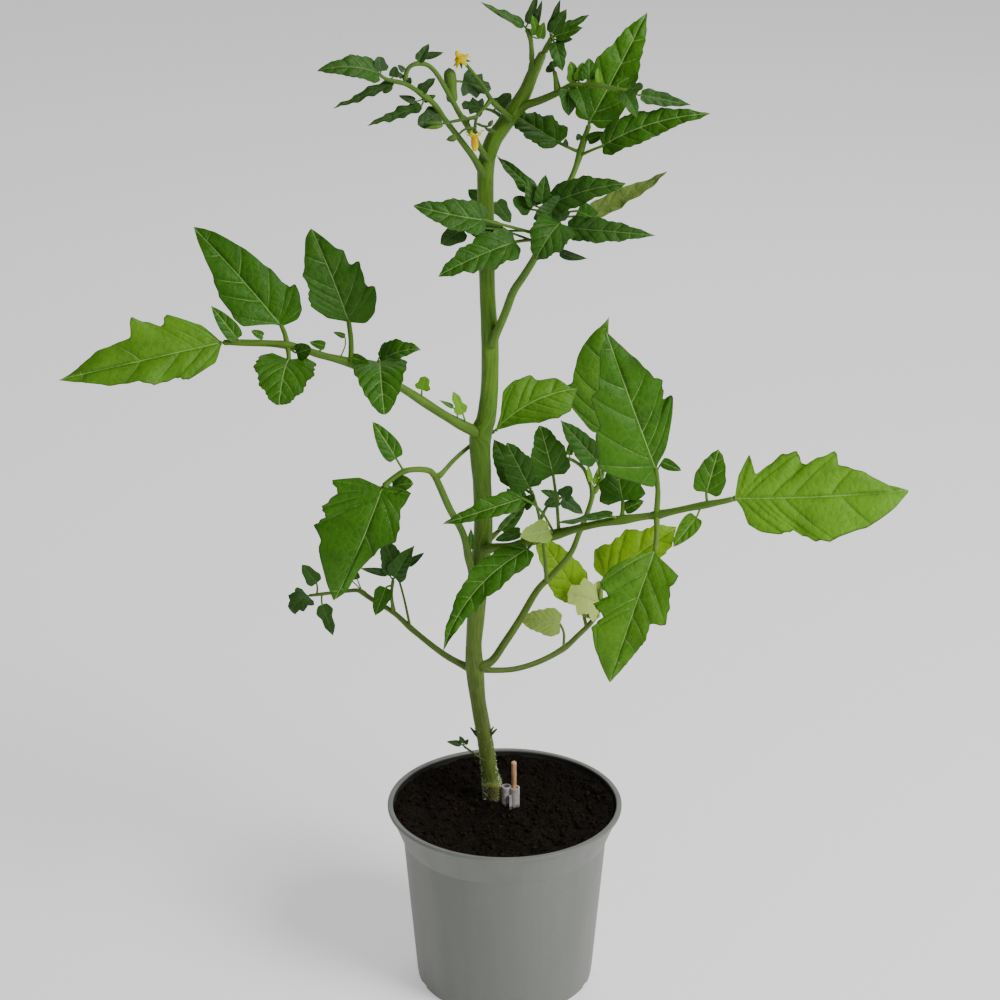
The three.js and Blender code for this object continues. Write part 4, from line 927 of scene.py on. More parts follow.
add_frond("leaf_right_rising", [
    stalk([(-15, 8, 185), (-7, 11, 188), (0, 15, 197), (8, 20, 208), (17.5, 26, 223), (26, 30, 231),
          (36, 36, 241), (41, 40, 252), (45, 42, 262), (48, 44, 273), (46, 44, 281), (43, 44, 288),
          (38, 42, 293), (33, 40, 296)], 2.4, 0.8),
    stalk([(48, 44, 273), (52, 46, 279), (54, 47, 288), (53, 46, 300), (53, 45, 308)], 1.3, 0.9),
    stalk([(23, 28, 226), (22, 25, 241), (20, 20, 259), (18, 17, 273), (14, 13, 288)], 1.1, 0.8),
    stalk([(19, 18, 268), (23, 19, 276), (30, 21, 280)], 0.8, 0.7),
], [
    leaflet(1, 4, (53, 45, 308), (55, 34, 378), 34, margin="tall_back", bow=5, fold=8, side=-3,
            tone=0.15),
    leaflet(1, 1.2, (50, 43, 293), (30, 39, 318), 14, lobes=2, cut=0.06, fold=20, turn=-20,
            tone=-0.3),
    leaflet(2, 4, (13, 13, 289), (1, 9, 316), 19, lobes=3, cut=0.07, fold=14, turn=-10, tone=-0.1),
    leaflet(2, 3.8, (6, 17, 291), (-6, 20, 314), 15, lobes=2, cut=0.06, fold=12, tone=-0.1),
    leaflet(3, 2, (29, 21.2, 280.4), (19, 22, 284), 5, tone=-0.4),
    leaflet(3, 2, (30.6, 21, 280.4), (36, 22, 286), 8, lobes=2, tone=-0.4),
    leaflet(3, 2, (29, 20, 279), (21, 18, 277), 7, tone=-0.4),
    leaflet(3, 2, (31, 20, 280), (42, 18, 272), 8, lobes=2, cut=0.15, tone=-0.4),
    leaflet(0, 9.2, (49, 46, 278), (52, 48, 289), 3, tone=0.7),
    leaflet(0, 9.1, (47, 42, 281), (45, 41, 292), 3, tone=0.7),
    leaflet(0, 12.4, (35, 41, 297), (36, 41, 306), 4, tone=0.1),
])

add_frond("leaf_centre_small", [
    stalk([(-10, 4, 261), (-5, 9, 264), (1, 11, 269), (9, 12, 278)], 1.3, 0.8),
], [
    leaflet(0, 0.9, (-2, 9, 266), (11, 6, 283), 9, turn=50, fold=24),
    leaflet(0, 3, (8, 12, 278), (1, 12, 289), 8, tone=-0.2),
    leaflet(0, 3, (9, 12, 279), (6, 13, 292), 8, tone=-0.1),
    leaflet(0, 3, (10, 11, 279), (16, 8, 287), 7, tone=-0.2),
])

add_frond("leaf_upper_right", [
    stalk([(-8, -1, 373), (-4, -5, 383), (0, -10, 394), (4, -16, 407), (9, -22, 417), (14, -27, 427),
          (19, -30, 438), (25, -27, 453), (34, -20, 470), (39, -12, 484), (42, -8, 492)], 2.6, 1.2),
], [
    leaflet(0, 10, (42, -8, 493), (70, 4, 545), 25, lobes=3, cut=0.08, bow=3, fold=10, side=1,
            tone=0.14),
    leaflet(0, 8.6, (27, -12, 483), (1, 12, 494), 19, lobes=4, cut=0.14, fold=16, turn=10, tone=-0.2),
    leaflet(0, 8.5, (48, -22, 484), (100, -30, 502), 17, lobes=4, cut=0.08, fold=14, bow=3,
            side=-2.5, tone=-0.1),
    leaflet(0, 9.1, (41, -14, 485), (50, -15, 489), 6, tone=-0.2),
    leaflet(0, 8.7, (30, -15, 482), (30, -15, 486), 3, tone=-0.5),
    leaflet(0, 9, (37, -13, 485), (36, -13, 488), 3.5, tone=-0.5),
    leaflet(0, 7.1, (23, -27, 456), (59, -38, 469), 18, lobes=3, fold=12, bow=3, turn=-10,
            tone=-0.25),
    leaflet(0, 6.8, (42, -20, 449), (80, -26, 472), 11.5, lobes=4, fold=-12, turn=165, bow=2,
            tone=-0.3),
    leaflet(0, 6.7, (36, -22, 451), (48, -24, 446), 11, lobes=2, tone=-0.2),
    leaflet(0, 6.6, (31, -32, 445), (74, -42, 444), 13, lobes=4, cut=0.12, fold=16, bow=4, turn=20,
            tone=-0.35),
    leaflet(0, 6.15, (-10, -36, 450), (-45, -42, 459), 18, lobes=3, fold=10, bow=2, side=-1.5,
            tone=-0.25),
    leaflet(0, 5.85, (-21, -37, 446), (-32, -40, 439), 11, lobes=2, turn=-20, tone=-0.4),
    leaflet(0, 6, (5, -36, 439), (-33, -48, 425), 20, lobes=4, cut=0.16, fold=10, bow=3, tone=-0.2),
    leaflet(0, 6.3, (-1, -32, 443.5), (-17, -36, 443), 11, lobes=2, tone=-0.3),
    leaflet(0, 6.3, (27, -34, 448), (15, -44, 432), 21, lobes=3, bow=5, fold=10, tone=-0.15),
    leaflet(0, 7.4, (14.8, -23, 460.4), (-4.3, 4, 472.5), 9, lobes=2, cut=0.2, turn=10, tone=-0.2),
    leaflet(0, 7.2, (18, -25, 456), (20, -24, 470), 8, fold=20, tone=-0.3),
    leaflet(0, 7.1, (15, -24, 454), (11, -22, 467), 8, tone=-0.3),
    leaflet(0, 7, (13, -23, 452), (4, -20, 457), 10, lobes=2, tone=-0.25),
    leaflet(0, 7.05, (30, -30, 456), (14, -34, 450), 13, lobes=2, turn=-15, tone=-0.4),
    leaflet(0, 5.5, (27, -30, 432), (41, -31, 429), 5, turn=40, bow=2, tone=-0.5),
])

add_frond("leaf_behind_stem", [
    stalk([(-9, 2, 436), (-7, 8, 441), (-6.3, 10.5, 446.5)], 1.3, 0.8),
], [
    leaflet(0, 1.5, (-9, 12, 445), (-19, 15, 452), 9, lobes=2, tone=-0.3),
    leaflet(0, 1.8, (-4.6, 12, 446.2), (3, 13.4, 435), 9, lobes=2, cut=0.14, tone=-0.2),
])

add_frond("shoot_upper_left", [
    stalk([(-9, 0, 461), (-13, -5, 469), (-16, -8, 475), (-23, -13, 486), (-30, -19, 497),
          (-35, -25, 506), (-41, -30, 512), (-48, -36, 518), (-57, -39, 521), (-61, -40, 524)], 2.1,
          0.8),
    stalk([(-8, -1, 471), (-12, -9, 479), (-17, -16, 490), (-22, -20, 499), (-25, -22, 505),
          (-30, -25, 515), (-34, -27, 522), (-38, -29, 526), (-43, -31, 527), (-47, -33, 525),
          (-49, -36, 519)], 1.7, 1),
    stalk([(-26, -21, 505), (-26.5, -20.5, 512), (-27.5, -20, 522.5)], 1.8, 3.2),
], [
    leaflet(0, 9, (-61, -40, 524), (-90, -48, 527), 13, lobes=3, fold=8, bow=4, side=1, tone=-0.35),
    leaflet(0, 8.9, (-60, -39, 525), (-61, -38, 532), 8, lobes=2, cut=0.15, turn=20, tone=-0.45),
    leaflet(0, 7.5, (-54, -38, 519), (-83, -44, 508), 8, lobes=4, cut=0.3, fold=14, turn=25,
            tone=-0.45),
    leaflet(0, 7.4, (-56, -37, 518), (-59, -38, 514), 5, tone=-0.5),
    leaflet(0, 5.8, (-41, -30, 506), (-67, -38, 498), 8.5, lobes=4, cut=0.3, fold=14, turn=20,
            tone=-0.45),
    leaflet(0, 5.6, (-44, -29, 508), (-52, -30, 511), 4, tone=-0.5),
    leaflet(0, 5.5, (-40, -27, 508), (-34, -25, 510), 4, tone=-0.4),
    leaflet(0, 4.6, (-33, -23, 500), (-43, -28, 496), 11, lobes=2, cut=0.15, turn=-15, tone=-0.45),
    leaflet(0, 6, (-42, -30, 513), (-34, -27, 519), 6, lobes=2, cut=0.2, tone=-0.5),
    leaflet(0, 8, (-54, -38, 522), (-53, -37, 527), 5, tone=-0.5),
    leaflet(0, 6.8, (-47, -34, 518), (-46, -34, 521), 3, tone=-0.6),
    leaflet(1, 8, (-42, -31, 528), (-37, -28, 536), 5.5, lobes=2, fold=26, tone=-0.45),
    leaflet(1, 7.6, (-39, -30, 530), (-30, -29, 532), 4, tone=-0.6),
    leaflet(1, 9.6, (-49, -34, 524), (-52, -34, 527), 3, tone=-0.6),
    leaflet(1, 9.8, (-50, -35, 521), (-52, -36, 524), 2.6, tone=-0.5),
    leaflet(2, 1.4, (-21, -17, 515), (-7, -12, 510), 13, lobes=3, cut=0.3, turn=20, tone=-0.5),
    leaflet(1, 1.9, (-18, -19, 495), (-24, -16, 500), 3, tone=-0.6),
], dark=0.45)

add_frond("leaf_behind_truss", [
    stalk([(1, 0, 490), (-2, 6, 492), (-6, 10, 494), (-11, 12, 495)], 1.2, 0.7),
], [
    leaflet(0, 3, (-11, 12, 495), (-22, 12, 497), 10, lobes=3, cut=0.35, tone=-0.4),
    leaflet(0, 2, (-5, 11, 495), (3, 14, 502), 9, lobes=2, cut=0.2, tone=-0.4),
])

add_frond("flower_truss", [
    stalk([(3, -3, 493), (1, -8, 496), (-3, -13, 501), (-7, -16, 506), (-11, -18, 513),
          (-15, -20, 519), (-19.2, -22.2, 524.8), (-21.6, -23.2, 527.4)], 1.7, 0.7),
    stalk([(-7, -16, 506), (-10, -20, 503), (-14, -23, 499), (-15.1, -26.1, 490.9)], 1, 0.75),
    stalk([(-13, -23, 499), (-22, -26, 498), (-31, -29, 497)], 0.8, 0.7),
    stalk([(-14, -24.5, 496), (-11, -26, 495), (-8, -27, 495)], 0.5, 0.5),
    stalk([(-14.7, -25.3, 494), (-20, -27, 493.5), (-24, -28, 490)], 0.55, 0.5),
], [
    leaflet(2, 2, (-31, -29, 497), (-39, -31, 498), 3.6, tone=-0.4),
    leaflet(2, 2, (-31, -29, 496), (-39, -31, 495), 3.2, tone=0.8),
    leaflet(4, 2, (-24, -28, 490), (-29, -30, 489), 4.6, tone=-0.4),
    leaflet(3, 1.9, (-8, -27, 495.4), (-6, -28, 498.5), 3.2, tone=-0.5),
    leaflet(3, 1.2, (-9, -26.5, 493.6), (-4, -28, 492), 3, tone=-0.5),
])

add_frond("shoot_right_top", [
    stalk([(5, 0, 496), (10, -3, 500), (18, -8, 504), (26, -14, 509), (32, -18, 513), (38, -21, 514),
          (45, -25, 515), (53, -28, 514), (60, -29, 513), (65, -29, 511)], 2.3, 0.8),
    stalk([(26, -14, 509), (25, -13, 515), (24, -12, 520)], 1.4, 0.9),
], [
    leaflet(1, 2, (23, -12, 521), (20, -13, 519), 4, tone=-0.5),
    leaflet(1, 2, (24, -12, 521), (23, -11, 524), 5, tone=-0.4),
    leaflet(0, 4, (31, -20, 512), (31, -26, 500), 10, lobes=2, fold=18, bow=3, tone=-0.25),
    leaflet(0, 4.6, (35, -22, 513), (40, -30, 500), 10, lobes=2, fold=18, bow=3, tone=-0.25),
    leaflet(0, 4.3, (34, -18, 515), (32, -16, 525), 7, lobes=2, cut=0.15, tone=0.3),
    leaflet(0, 4.8, (36, -19, 516), (38, -18, 525), 6, lobes=2, cut=0.15, tone=0.3),
    leaflet(0, 5.5, (41, -21, 517), (41, -18, 527), 8, tone=-0.1),
    leaflet(0, 6.1, (46, -24, 516), (45, -22, 523), 4, tone=0.4),
    leaflet(0, 7.2, (55, -27, 516), (60, -26, 519), 5, tone=-0.1),
    leaflet(0, 7.6, (57, -29, 513), (64, -34, 501), 9, lobes=2, bow=3, fold=16, tone=-0.3),
    leaflet(0, 8.4, (62, -29, 514), (67, -29, 516), 6, lobes=2, cut=0.2, tone=-0.45),
    leaflet(0, 9, (66, -28, 511), (91, -24, 505), 8, lobes=3, cut=0.14, turn=20, tone=-0.35),
])

add_frond("shoot_tip_left", [
    stalk([(13, 0, 514), (13, -3, 519), (13, -6, 529), (12, -8, 536), (10, -9, 540)], 1.6, 1),
], [
    leaflet(0, 4, (9, -9, 541), (-12, -12, 553), 6, lobes=3, cut=0.2, fold=14, turn=15, tone=-0.25),
    leaflet(0, 4, (9, -10, 541), (-5, -15, 550), 5.5, lobes=2, cut=0.16, fold=14, tone=-0.35),
    leaflet(0, 4, (11, -9, 542), (16, -9, 557), 5, lobes=2, tone=-0.5),
    leaflet(0, 3.6, (14, -9, 540), (18, -11, 554), 4, tone=-0.6),
    leaflet(0, 3.1, (15.6, -10, 537.4), (13, -13, 547), 5.5, lobes=2, cut=0.2, tone=0.1),
    leaflet(0, 3, (17, -10, 535), (19, -14, 544), 5, tone=0.2),
], dark=0.4)

add_frond("shoot_tip_right", [
    stalk([(19, -3, 526), (21, -5, 531), (23, -8, 535)], 1.3, 1),
], [
    leaflet(0, 2, (24, -8, 536), (41, -12, 547), 6.5, lobes=3, cut=0.2, turn=20, tone=-0.3),
    leaflet(0, 2, (25, -9, 536), (38, -14, 541), 7.5, lobes=2, cut=0.12, fold=16, tone=-0.1),
    leaflet(0, 2, (25, -9, 534), (33, -12, 535), 5, tone=-0.4),
    leaflet(0, 2, (24, -10, 533), (28, -16, 520), 9, lobes=3, cut=0.12, bow=3, fold=12, tone=-0.3),
    leaflet(0, 2, (23, -8, 537), (30, -8, 549), 7.5, lobes=2, cut=0.16, tone=-0.35),
    leaflet(0, 1.8, (22, -6, 537), (27, -4, 553), 5, lobes=2, cut=0.12, tone=-0.5),
])

add_frond("base_sprout", [
    stalk([(-8, 15, 122), (-13, 9, 129), (-18, 7, 134), (-23, 5, 139)], 0.8, 0.6),
], [
    leaflet(0, 3, (-24, 5, 140), (-32, 4, 142), 3.6, tone=-0.6),
    leaflet(0, 3, (-23, 5, 141), (-25, 5, 145), 3, tone=-0.6),
    leaflet(0, 3, (-22, 5, 140), (-20, 5, 143), 2.6, tone=-0.6),
], dark=0.9)

# The yellow leaflets grow on the stalk of leaf_lower_back.
YELLOW_LEAFLETS = {
    "yellow_leaflet_1": leaflet(0, 5.6, (40.5, 60, 206), (17, 61, 243), 22, lobes=2, cut=0.05,
                                bow=3, fold=8, tone=1),
    "yellow_leaflet_2": leaflet(0, 7, (56, 56.5, 217), (96, 62, 246), 32, lobes=3, cut=0.16,
                                bow=4, fold=8, tone=1),
}

# Each open flower: the middle of its petals, the way its cone points and the cone's length.
FLOWERS = {
    "flower_upper": ((-22, -23.6, 528.2), (-0.4, -0.45, 0.8), 4.5),
    "flower_lower": ((-15.2, -26.4, 490), (0.05, -0.2, -1), 7.5),
}


# Leaflets

# The way a blade looks that isn't turned, and the angle between the midrib and the rows of a
# plain blade, at its base and at its tip.
FACING = np.array([0.0, -0.8, 0.6])
BASE_LEAN, TIP_LEAN = math.radians(112), math.radians(42)

# How far a side vein runs along the blade, as a share of how far it runs out, and the width
# in millimetres above which a leaflet has teeth.
VEIN_SLANT = 1.3
TOOTHED_WIDTH = 12


def teeth(number, count):
    """Teeth of a margin, that many to a side vein: each rises slowly and drops fast."""
    small = (number * count + 0.1) % 1
    return np.where(small < 0.3, 1 - small / 0.3, (small - 0.3) / 0.7)


def spread(breaks, count):
    """Places between the breaks, about count in all, with every break among them."""
    places = [breaks[0]]
    for low, high in zip(breaks, breaks[1:]):
        steps = max(2, round(count * (high - low) / (breaks[-1] - breaks[0])))
        places += [low + (high - low) * step / steps for step in range(1, steps + 1)]
    return np.array(places)


def plain_outline(long, width, lobes, cut, count):
    """Rows of an egg-shaped leaflet: the place on the midrib, how far along and out the margin
    lies as shares of the length, and the vein number, which is whole at each side vein."""
    peaks = [(lobe + 0.5) / (lobes + 0.35) for lobe in range(lobes)]
    t = spread([0, *peaks, 1], count)
    number = t * (lobes + 0.35) - 0.5
    swell = np.clip(np.sin(np.pi * np.sqrt(t)), 0, 1) ** 0.75
    past = number - np.floor(number)
    deep = 4 * cut / 3
    falling = 1 - cut + deep * (1 + np.cos(np.pi * past / 0.45)) / 2
    rising = 1 - cut + deep * np.clip((past - 0.45) / 0.55, 0, 1) ** 1.4
    share = np.where(past < 0.45, falling, rising)
    last = number > lobes - 1
    share = np.where(last, 1 + cut / 3 * (1 - smooth_step(number, lobes - 1, lobes - 0.6)), share)
    if lobes == 1:
        share = np.ones_like(share)
    if width > TOOTHED_WIDTH:
        share = share + 0.08 * (teeth(number, 3) - 0.3)
    out = width / 2 * swell * share * (1 - 0.25 * smooth_step(t, 0.8, 1))
    lean = BASE_LEAN + (TIP_LEAN - BASE_LEAN) * t ** 0.8
    along = t + out * np.cos(lean) / long
    across = out * np.sin(lean) / long
    half = (along, across, number)
    return t, half, half


def flowing(values, index):
    """Values between stations, on a curve that keeps its corners."""
    values = np.array(values, float)
    slopes = np.zeros_like(values)
    slopes[1:-1] = 0.32 * (values[2:] - values[:-2])
    low = np.minimum(index.astype(int), len(values) - 2)
    t = index - low
    a, b, m, n = values[low], values[low + 1], slopes[low], slopes[low + 1]
    return ((2 * t ** 3 - 3 * t ** 2 + 1) * a + (t ** 3 - 2 * t ** 2 + t) * m
            + (3 * t ** 2 - 2 * t ** 3) * b + (t ** 3 - t ** 2) * n)


def drawn_outline(margin, count):
    """Rows of a leaflet whose margin has its own drawing, as plain_outline gives them. Side
    veins end where the margin reaches furthest out."""
    left, right = MARGINS[margin]["left"], MARGINS[margin]["right"]
    t = [0.0]
    for row, ((la, lo), (ra, ro)) in enumerate(zip(left, right)):
        t.append(max(0.02 * (row + 1), (la + ra) / 2 - 0.3 * (lo + ro)))
    t.append(1.0)
    index = spread(list(range(len(t))), count)
    sides = []
    for side in (left, right):
        across = [0.0, *(out for _, out in side), 0.0]
        along = [0.0, *(reach for reach, _ in side), 1.0]
        tops = [k for k in range(1, len(across) - 1)
                if across[k] >= across[k - 1] and across[k] >= across[k + 1]]
        if across[-2] < 0.09:
            tops.append(len(across) - 2)
        tops = sorted(set(tops))
        number = np.interp(index, [0, *tops, len(t) - 1], [-0.5, *range(len(tops)),
                                                           len(tops) - 0.4])
        wide = flowing(across, index) * (1 + 0.055 * teeth(number, 4))
        sides.append((flowing(along, index), np.maximum(wide, 0), number))
    return flowing(t, index), sides[0], sides[1]


def side_veins(reach, out, number):
    """Side veins of a half blade, as shares of its length: where each leaves the midrib, and
    where it ends at the margin."""
    step = 1.0
    while step / (number[-1] + 0.6) > 0.2:
        step /= 2
    stops = np.arange(math.ceil(-0.4 / step), (number[-1] - 0.02) / step) * step
    ends = np.interp(stops, number, reach), np.interp(stops, number, out)
    roots = np.clip(ends[0] - ends[1] * VEIN_SLANT, 0.012, 0.97)
    return np.maximum.accumulate(roots + 0.012 * np.arange(len(stops))), *ends


def vein_field(x, y, veins):
    """For each point of a half blade a number that is whole on each side vein, and how far
    apart the veins lie there as a share of the length."""
    roots, ends_x, ends_y = veins
    lines = []
    for root, end_x, end_y in zip(roots, ends_x, ends_y):
        reach = y / max(end_y, 0.01)
        lines.append(root + (end_x - root) * (0.7 * reach + 0.3 * reach ** 2))
    lines = np.maximum.accumulate(np.array(lines) + 0.004 * np.arange(len(lines))[:, None, None])
    gaps = np.diff(lines, axis=0)
    field = np.clip((x - lines[0]) / gaps[0], -0.49, 0)
    apart = gaps[0].copy()
    for vein, gap in enumerate(gaps):
        past = x >= lines[vein]
        field = np.where(past, vein + np.clip((x - lines[vein]) / gap, 0, 1), field)
        apart = np.where(past, gap, apart)
    beyond = np.clip((x - lines[-1]) / gaps[-1], 0, 0.49)
    return field + beyond, apart * 0.75


class Leaflet:
    """A leaflet's midrib, which bends from its base to its tip, and the way its blade faces."""

    def __init__(self, spec):
        self.spec = spec
        self.start, self.end = (np.array(spec[name], float) * MM for name in ("base", "tip"))
        self.size = np.linalg.norm(self.end - self.start)
        self.along = unit(self.end - self.start)
        facing = unit(FACING - self.along * (FACING @ self.along))
        self.facing = turned(facing, self.along, math.radians(spec.get("turn", 0)))
        self.rightward = np.cross(self.along, self.facing)
        self.handle = ((self.start + self.end) / 2 + self.facing * 2 * spec.get("bow", 0) * MM
                       + self.rightward * 2 * spec.get("side", 0) * MM)

    def midrib(self, t):
        """Places on the midrib, with t from 0 at its base to 1 at its tip."""
        t = np.asarray(t, float)[..., None]
        curve = (1 - t) ** 2 * self.start + 2 * t * (1 - t) * self.handle + t * t * self.end
        return np.where(t < 0, self.start + t * self.size * self.along, curve)

    def outline(self):
        """The rows of the blade and the outline of its left and right half."""
        spec, long = self.spec, self.size / MM
        rows = int(np.clip(long * 1.25, 16, 96))
        if "margin" in spec:
            return drawn_outline(spec["margin"], rows)
        return plain_outline(long, spec["width"], spec.get("lobes", 1), spec.get("cut", 0.1), rows)

    def blade(self, look, dice):
        """The middle of the blade as a grid of points, and what the leaf skin reads at each:
        the veins, the share of the way out to the edge and the place on the flat blade."""
        spec, size, width = self.spec, self.size, self.spec["width"]
        t, left, right = self.outline()
        lift = math.tan(math.radians(spec.get("fold", 6)))
        columns = int(np.clip(width * 0.34, 3, 12))
        share = (np.arange(columns + 1) / columns) ** 1.1
        phase = dice.uniform(0, 6.28, 4)
        narrow = 0.35 * MM / size
        spots, veins, edges, flats = [], [], [], []
        for sign, (reach, out, number) in ((-1, left), (1, right)):
            reach = reach * (1 + 0.012 * np.sin(9 * t + phase[0] * sign))
            out = np.maximum(out, narrow * (1 - 0.6 * t))
            s = share if sign > 0 else share[:0:-1]
            x = t[:, None] + (reach - t)[:, None] * s ** 1.3
            y = out[:, None] * s
            field, apart = vein_field(x, y, side_veins(reach, out, number))
            puff = (look.quilt * np.minimum(apart, 0.2) * np.abs(np.sin(np.pi * field)) ** 0.8
                    * np.sin(np.pi * s ** 0.7) ** 0.8)
            wave = look.wave * s ** 2 * (np.sin(np.pi * number + phase[1])
                                         + 0.6 * np.sin(2.3 * np.pi * number + phase[2]))[:, None]
            if "margin" in spec or width > TOOTHED_WIDTH:
                wave = wave * 1.25
            sway = 0.008 * np.sin(5 * x + 7 * y + phase[3])
            calm = (smooth_step(t, 0, 0.12) * (1 - smooth_step(t, 0.86, 1.0)))[:, None]
            height = lift * y * (1 - 0.2 * s ** 2) + (puff + wave + sway * s) * calm
            spots.append(self.midrib(np.clip(x, -1, 1))
                         + self.rightward * (sign * y * size)[..., None]
                         + self.facing * (height * size)[..., None])
            veins.append(np.stack([y * size, field, apart * size], -1))
            edges.append(np.broadcast_to(s, x.shape))
            flats.append(np.stack([x * size, sign * y * size,
                                   np.full_like(x, phase[0] * 0.3)], -1))
        return [np.concatenate(halves, 1) for halves in (spots, veins, edges, flats)]

    def neck(self, root, thick):
        """The line of the leaflet's short stalk, from its root on the bearer into the blade."""
        bend = self.start - self.along * 0.4 * np.linalg.norm(self.start - root)
        bend = (bend + (root + self.start) / 2) / 2
        nib = self.start + self.along * min(0.04 * self.size, 1.5 * MM)
        points = (root, (root + 2 * bend + self.start) / 4, self.start, nib)
        return Line([point / MM for point in points],
                    [thick * 1.15, thick * 0.98, thick * 0.95, thick * 0.55])


def add_leaflet(blades, stalks, line, spec, look, dice):
    """One leaflet with its veins, waved edge, underside and short stalk; gives the line of
    that stalk."""
    made, width = Leaflet(spec), spec["width"]
    middle, veins, edges, flats = made.blade(look, dice)
    thick = look.blade * (1 - 0.35 * edges) * min(1.0, 0.55 + width / 40)
    lift = made.facing * (thick / 2)[..., None]
    points, faces = closed_sheet(middle + lift, middle - lift)
    tone = spec.get("tone", 0) + dice.uniform(-0.07, 0.07)
    faded = spec.get("faded", 0)
    tints = np.zeros((len(points), 3))
    tints[:, 0], tints[:, 2] = tone, faded
    tints[len(points) // 2:, 1] = 1
    blades.add(points, faces, veins=both_sides(veins), flat=both_sides(flats), tint=tints,
               edge=both_sides(np.stack([edges] * 3, -1)))

    thin = float(np.clip(0.25 + 0.032 * width, 0.35, 1.45))
    rib = Line([made.midrib(s) / MM - made.facing * (0.3 * thin + 0.08)
                for s in np.linspace(0, 0.86, 7)], [thin * 0.6, 0.12])
    points, _, faces = rings_along(rib, max(0.0012, made.size / 40), 6, rib.plain)
    blades.add(points, faces, veins=(0, 0.5, 0.01), flat=(0, 0, 0), tint=(tone, 0.6, faded),
               edge=(0, 0, 0))

    neck = made.neck(line.point(spec["where"]), thin)
    points, flat, faces = rings_along(neck, 0.0009, 8, neck.plain)
    stalks.add(points, faces, flat=flat, tint=(0, max(0.0, -tone * 0.8), max(0.0, tone)))
    return neck


# Stalks, stem and hairs


def stalk_form(line, reach, dice, joints=()):
    """Radius of a leaf stalk: it flares where it grows from the stem, swells where leaflets
    join, has a shallow groove on top and is rounded at both ends."""
    phase = dice.uniform(0, 6.28)

    def form(where, run, turns):
        radius = line.radius(where)
        flare = 0.42 * math.exp(-((run / 0.0055) ** 2))
        joint = sum(0.13 * math.exp(-(((where - at) / 0.28) ** 2)) for at in joints)
        tail = max(0.0, 1 - min(run, reach - run) / (1.2 * radius + 1e-6))
        groove = 1 - 0.11 * np.exp(-((np.sin(turns / 2) / 0.32) ** 2))
        uneven = 1 + 0.035 * np.sin(2 * turns + phase + run / 0.011)
        end = math.sqrt(1 - min(1.0, tail) ** 2)
        return radius * (1 + flare + joint) * groove * uneven * max(end, 0.12)

    return form


def add_hairs(hairs, line, count, long, dice, start=0.0, stop=1.0, radius=0.00004):
    """Fine hairs that stand off a line's skin, each a closed spike with its root sunk in."""
    thirds = (0, 2.094, 4.189)
    for _ in range(count):
        where = line.spans * dice.uniform(start, stop)
        tangent = line.tangent(where)
        side = unit(np.cross(tangent, (0.31, 0.2, 0.93) if abs(tangent[2]) < 0.9 else (1, 0, 0)))
        outward = turned(side, tangent, dice.uniform(0, 2 * math.pi))
        lean = unit(outward + tangent * dice.normal(0, 0.3)
                    + np.cross(tangent, outward) * dice.normal(0, 0.25))
        root = line.point(where) + outward * line.radius(where) * 0.9
        reach = line.radius(where) * 0.1 + long * dice.uniform(0.55, 1.25)
        across = unit(np.cross(lean, tangent + 0.01))
        beside = np.cross(lean, across)
        foot = [root + radius * (across * math.cos(a) + beside * math.sin(a)) for a in thirds]
        hairs.add([*foot, root + lean * reach], [(0, 2, 1), (0, 1, 3), (1, 2, 3), (2, 0, 3)])


def build_frond(name, frond, settings, finishes, hairs, dice):
    """Blades and stalks of one frond, as two pieces that stand for its node."""
    blades = Shape("veins", "edge", "flat", "tint")
    stalks = Shape("flat", "tint")
    lines = [Line(*spec) for spec in frond["stalks"]]
    hair_apart, leaflet_hair = 0.00042, 0.0005
    for number, line in enumerate(lines):
        joints = [spec["where"] for spec in frond["leaflets"] if spec["on"] == number]
        reach = line.places(0.001)[1][-1]
        points, flat, faces = rings_along(line, 0.0014, 14,
                                          stalk_form(line, reach, dice, joints))
        stalks.add(points, faces, flat=flat, tint=(0, frond.get("dark", 0.22), 0.1))
        add_hairs(hairs, line, int(reach / hair_apart), settings.tomato_stem.hair_length, dice)
    for spec in frond["leaflets"]:
        neck = add_leaflet(blades, stalks, lines[spec["on"]], spec, settings.tomato_leaf, dice)
        add_hairs(hairs, neck, int(spec["width"] * 1.2), leaflet_hair, dice)
    if frond["leaflets"]:
        blades.piece(name + "_blades", finishes["leaf"], name, frond.get("slot", "leaf_green"))
    stalks.piece(name + "_stalks", finishes["stem"], name, "stem_green")


def stem_form(line, phase):
    """Radius of the main stem: low ridges that wind slowly, a ledge at the graft, a rough bark
    below it and a rounded tip."""

    def form(where, run, turns):
        height = line.point(where)[2]
        ridges = (0.028 * np.cos(5 * turns + run * 9)
                  + 0.018 * np.cos(2 * turns - run * 21 + phase)
                  + 0.012 * np.cos(11 * turns + run * 60))
        ledge = 0.05 * math.exp(-(((height - GRAFT_HEIGHT) / 0.0016) ** 2))
        rough = 0.035 * (1 - smooth_step(height, 0.110, 0.1135))
        bumps = rough * np.array([noise.noise((3 * math.cos(a), 3 * math.sin(a), run / 0.0035))
                                  for a in turns]) * 2.2
        uneven = 0.03 * noise.noise((0.0, 4.0, run / 0.011))
        tail = 1 - smooth_step(height, 0.5255, 0.5275) * 0.75
        foot = 0.18 * (1 - smooth_step(height, 0.0985, 0.105))
        return line.radius(where) * (1 + ridges + ledge + uneven + bumps) * tail * (1 - foot)

    return form


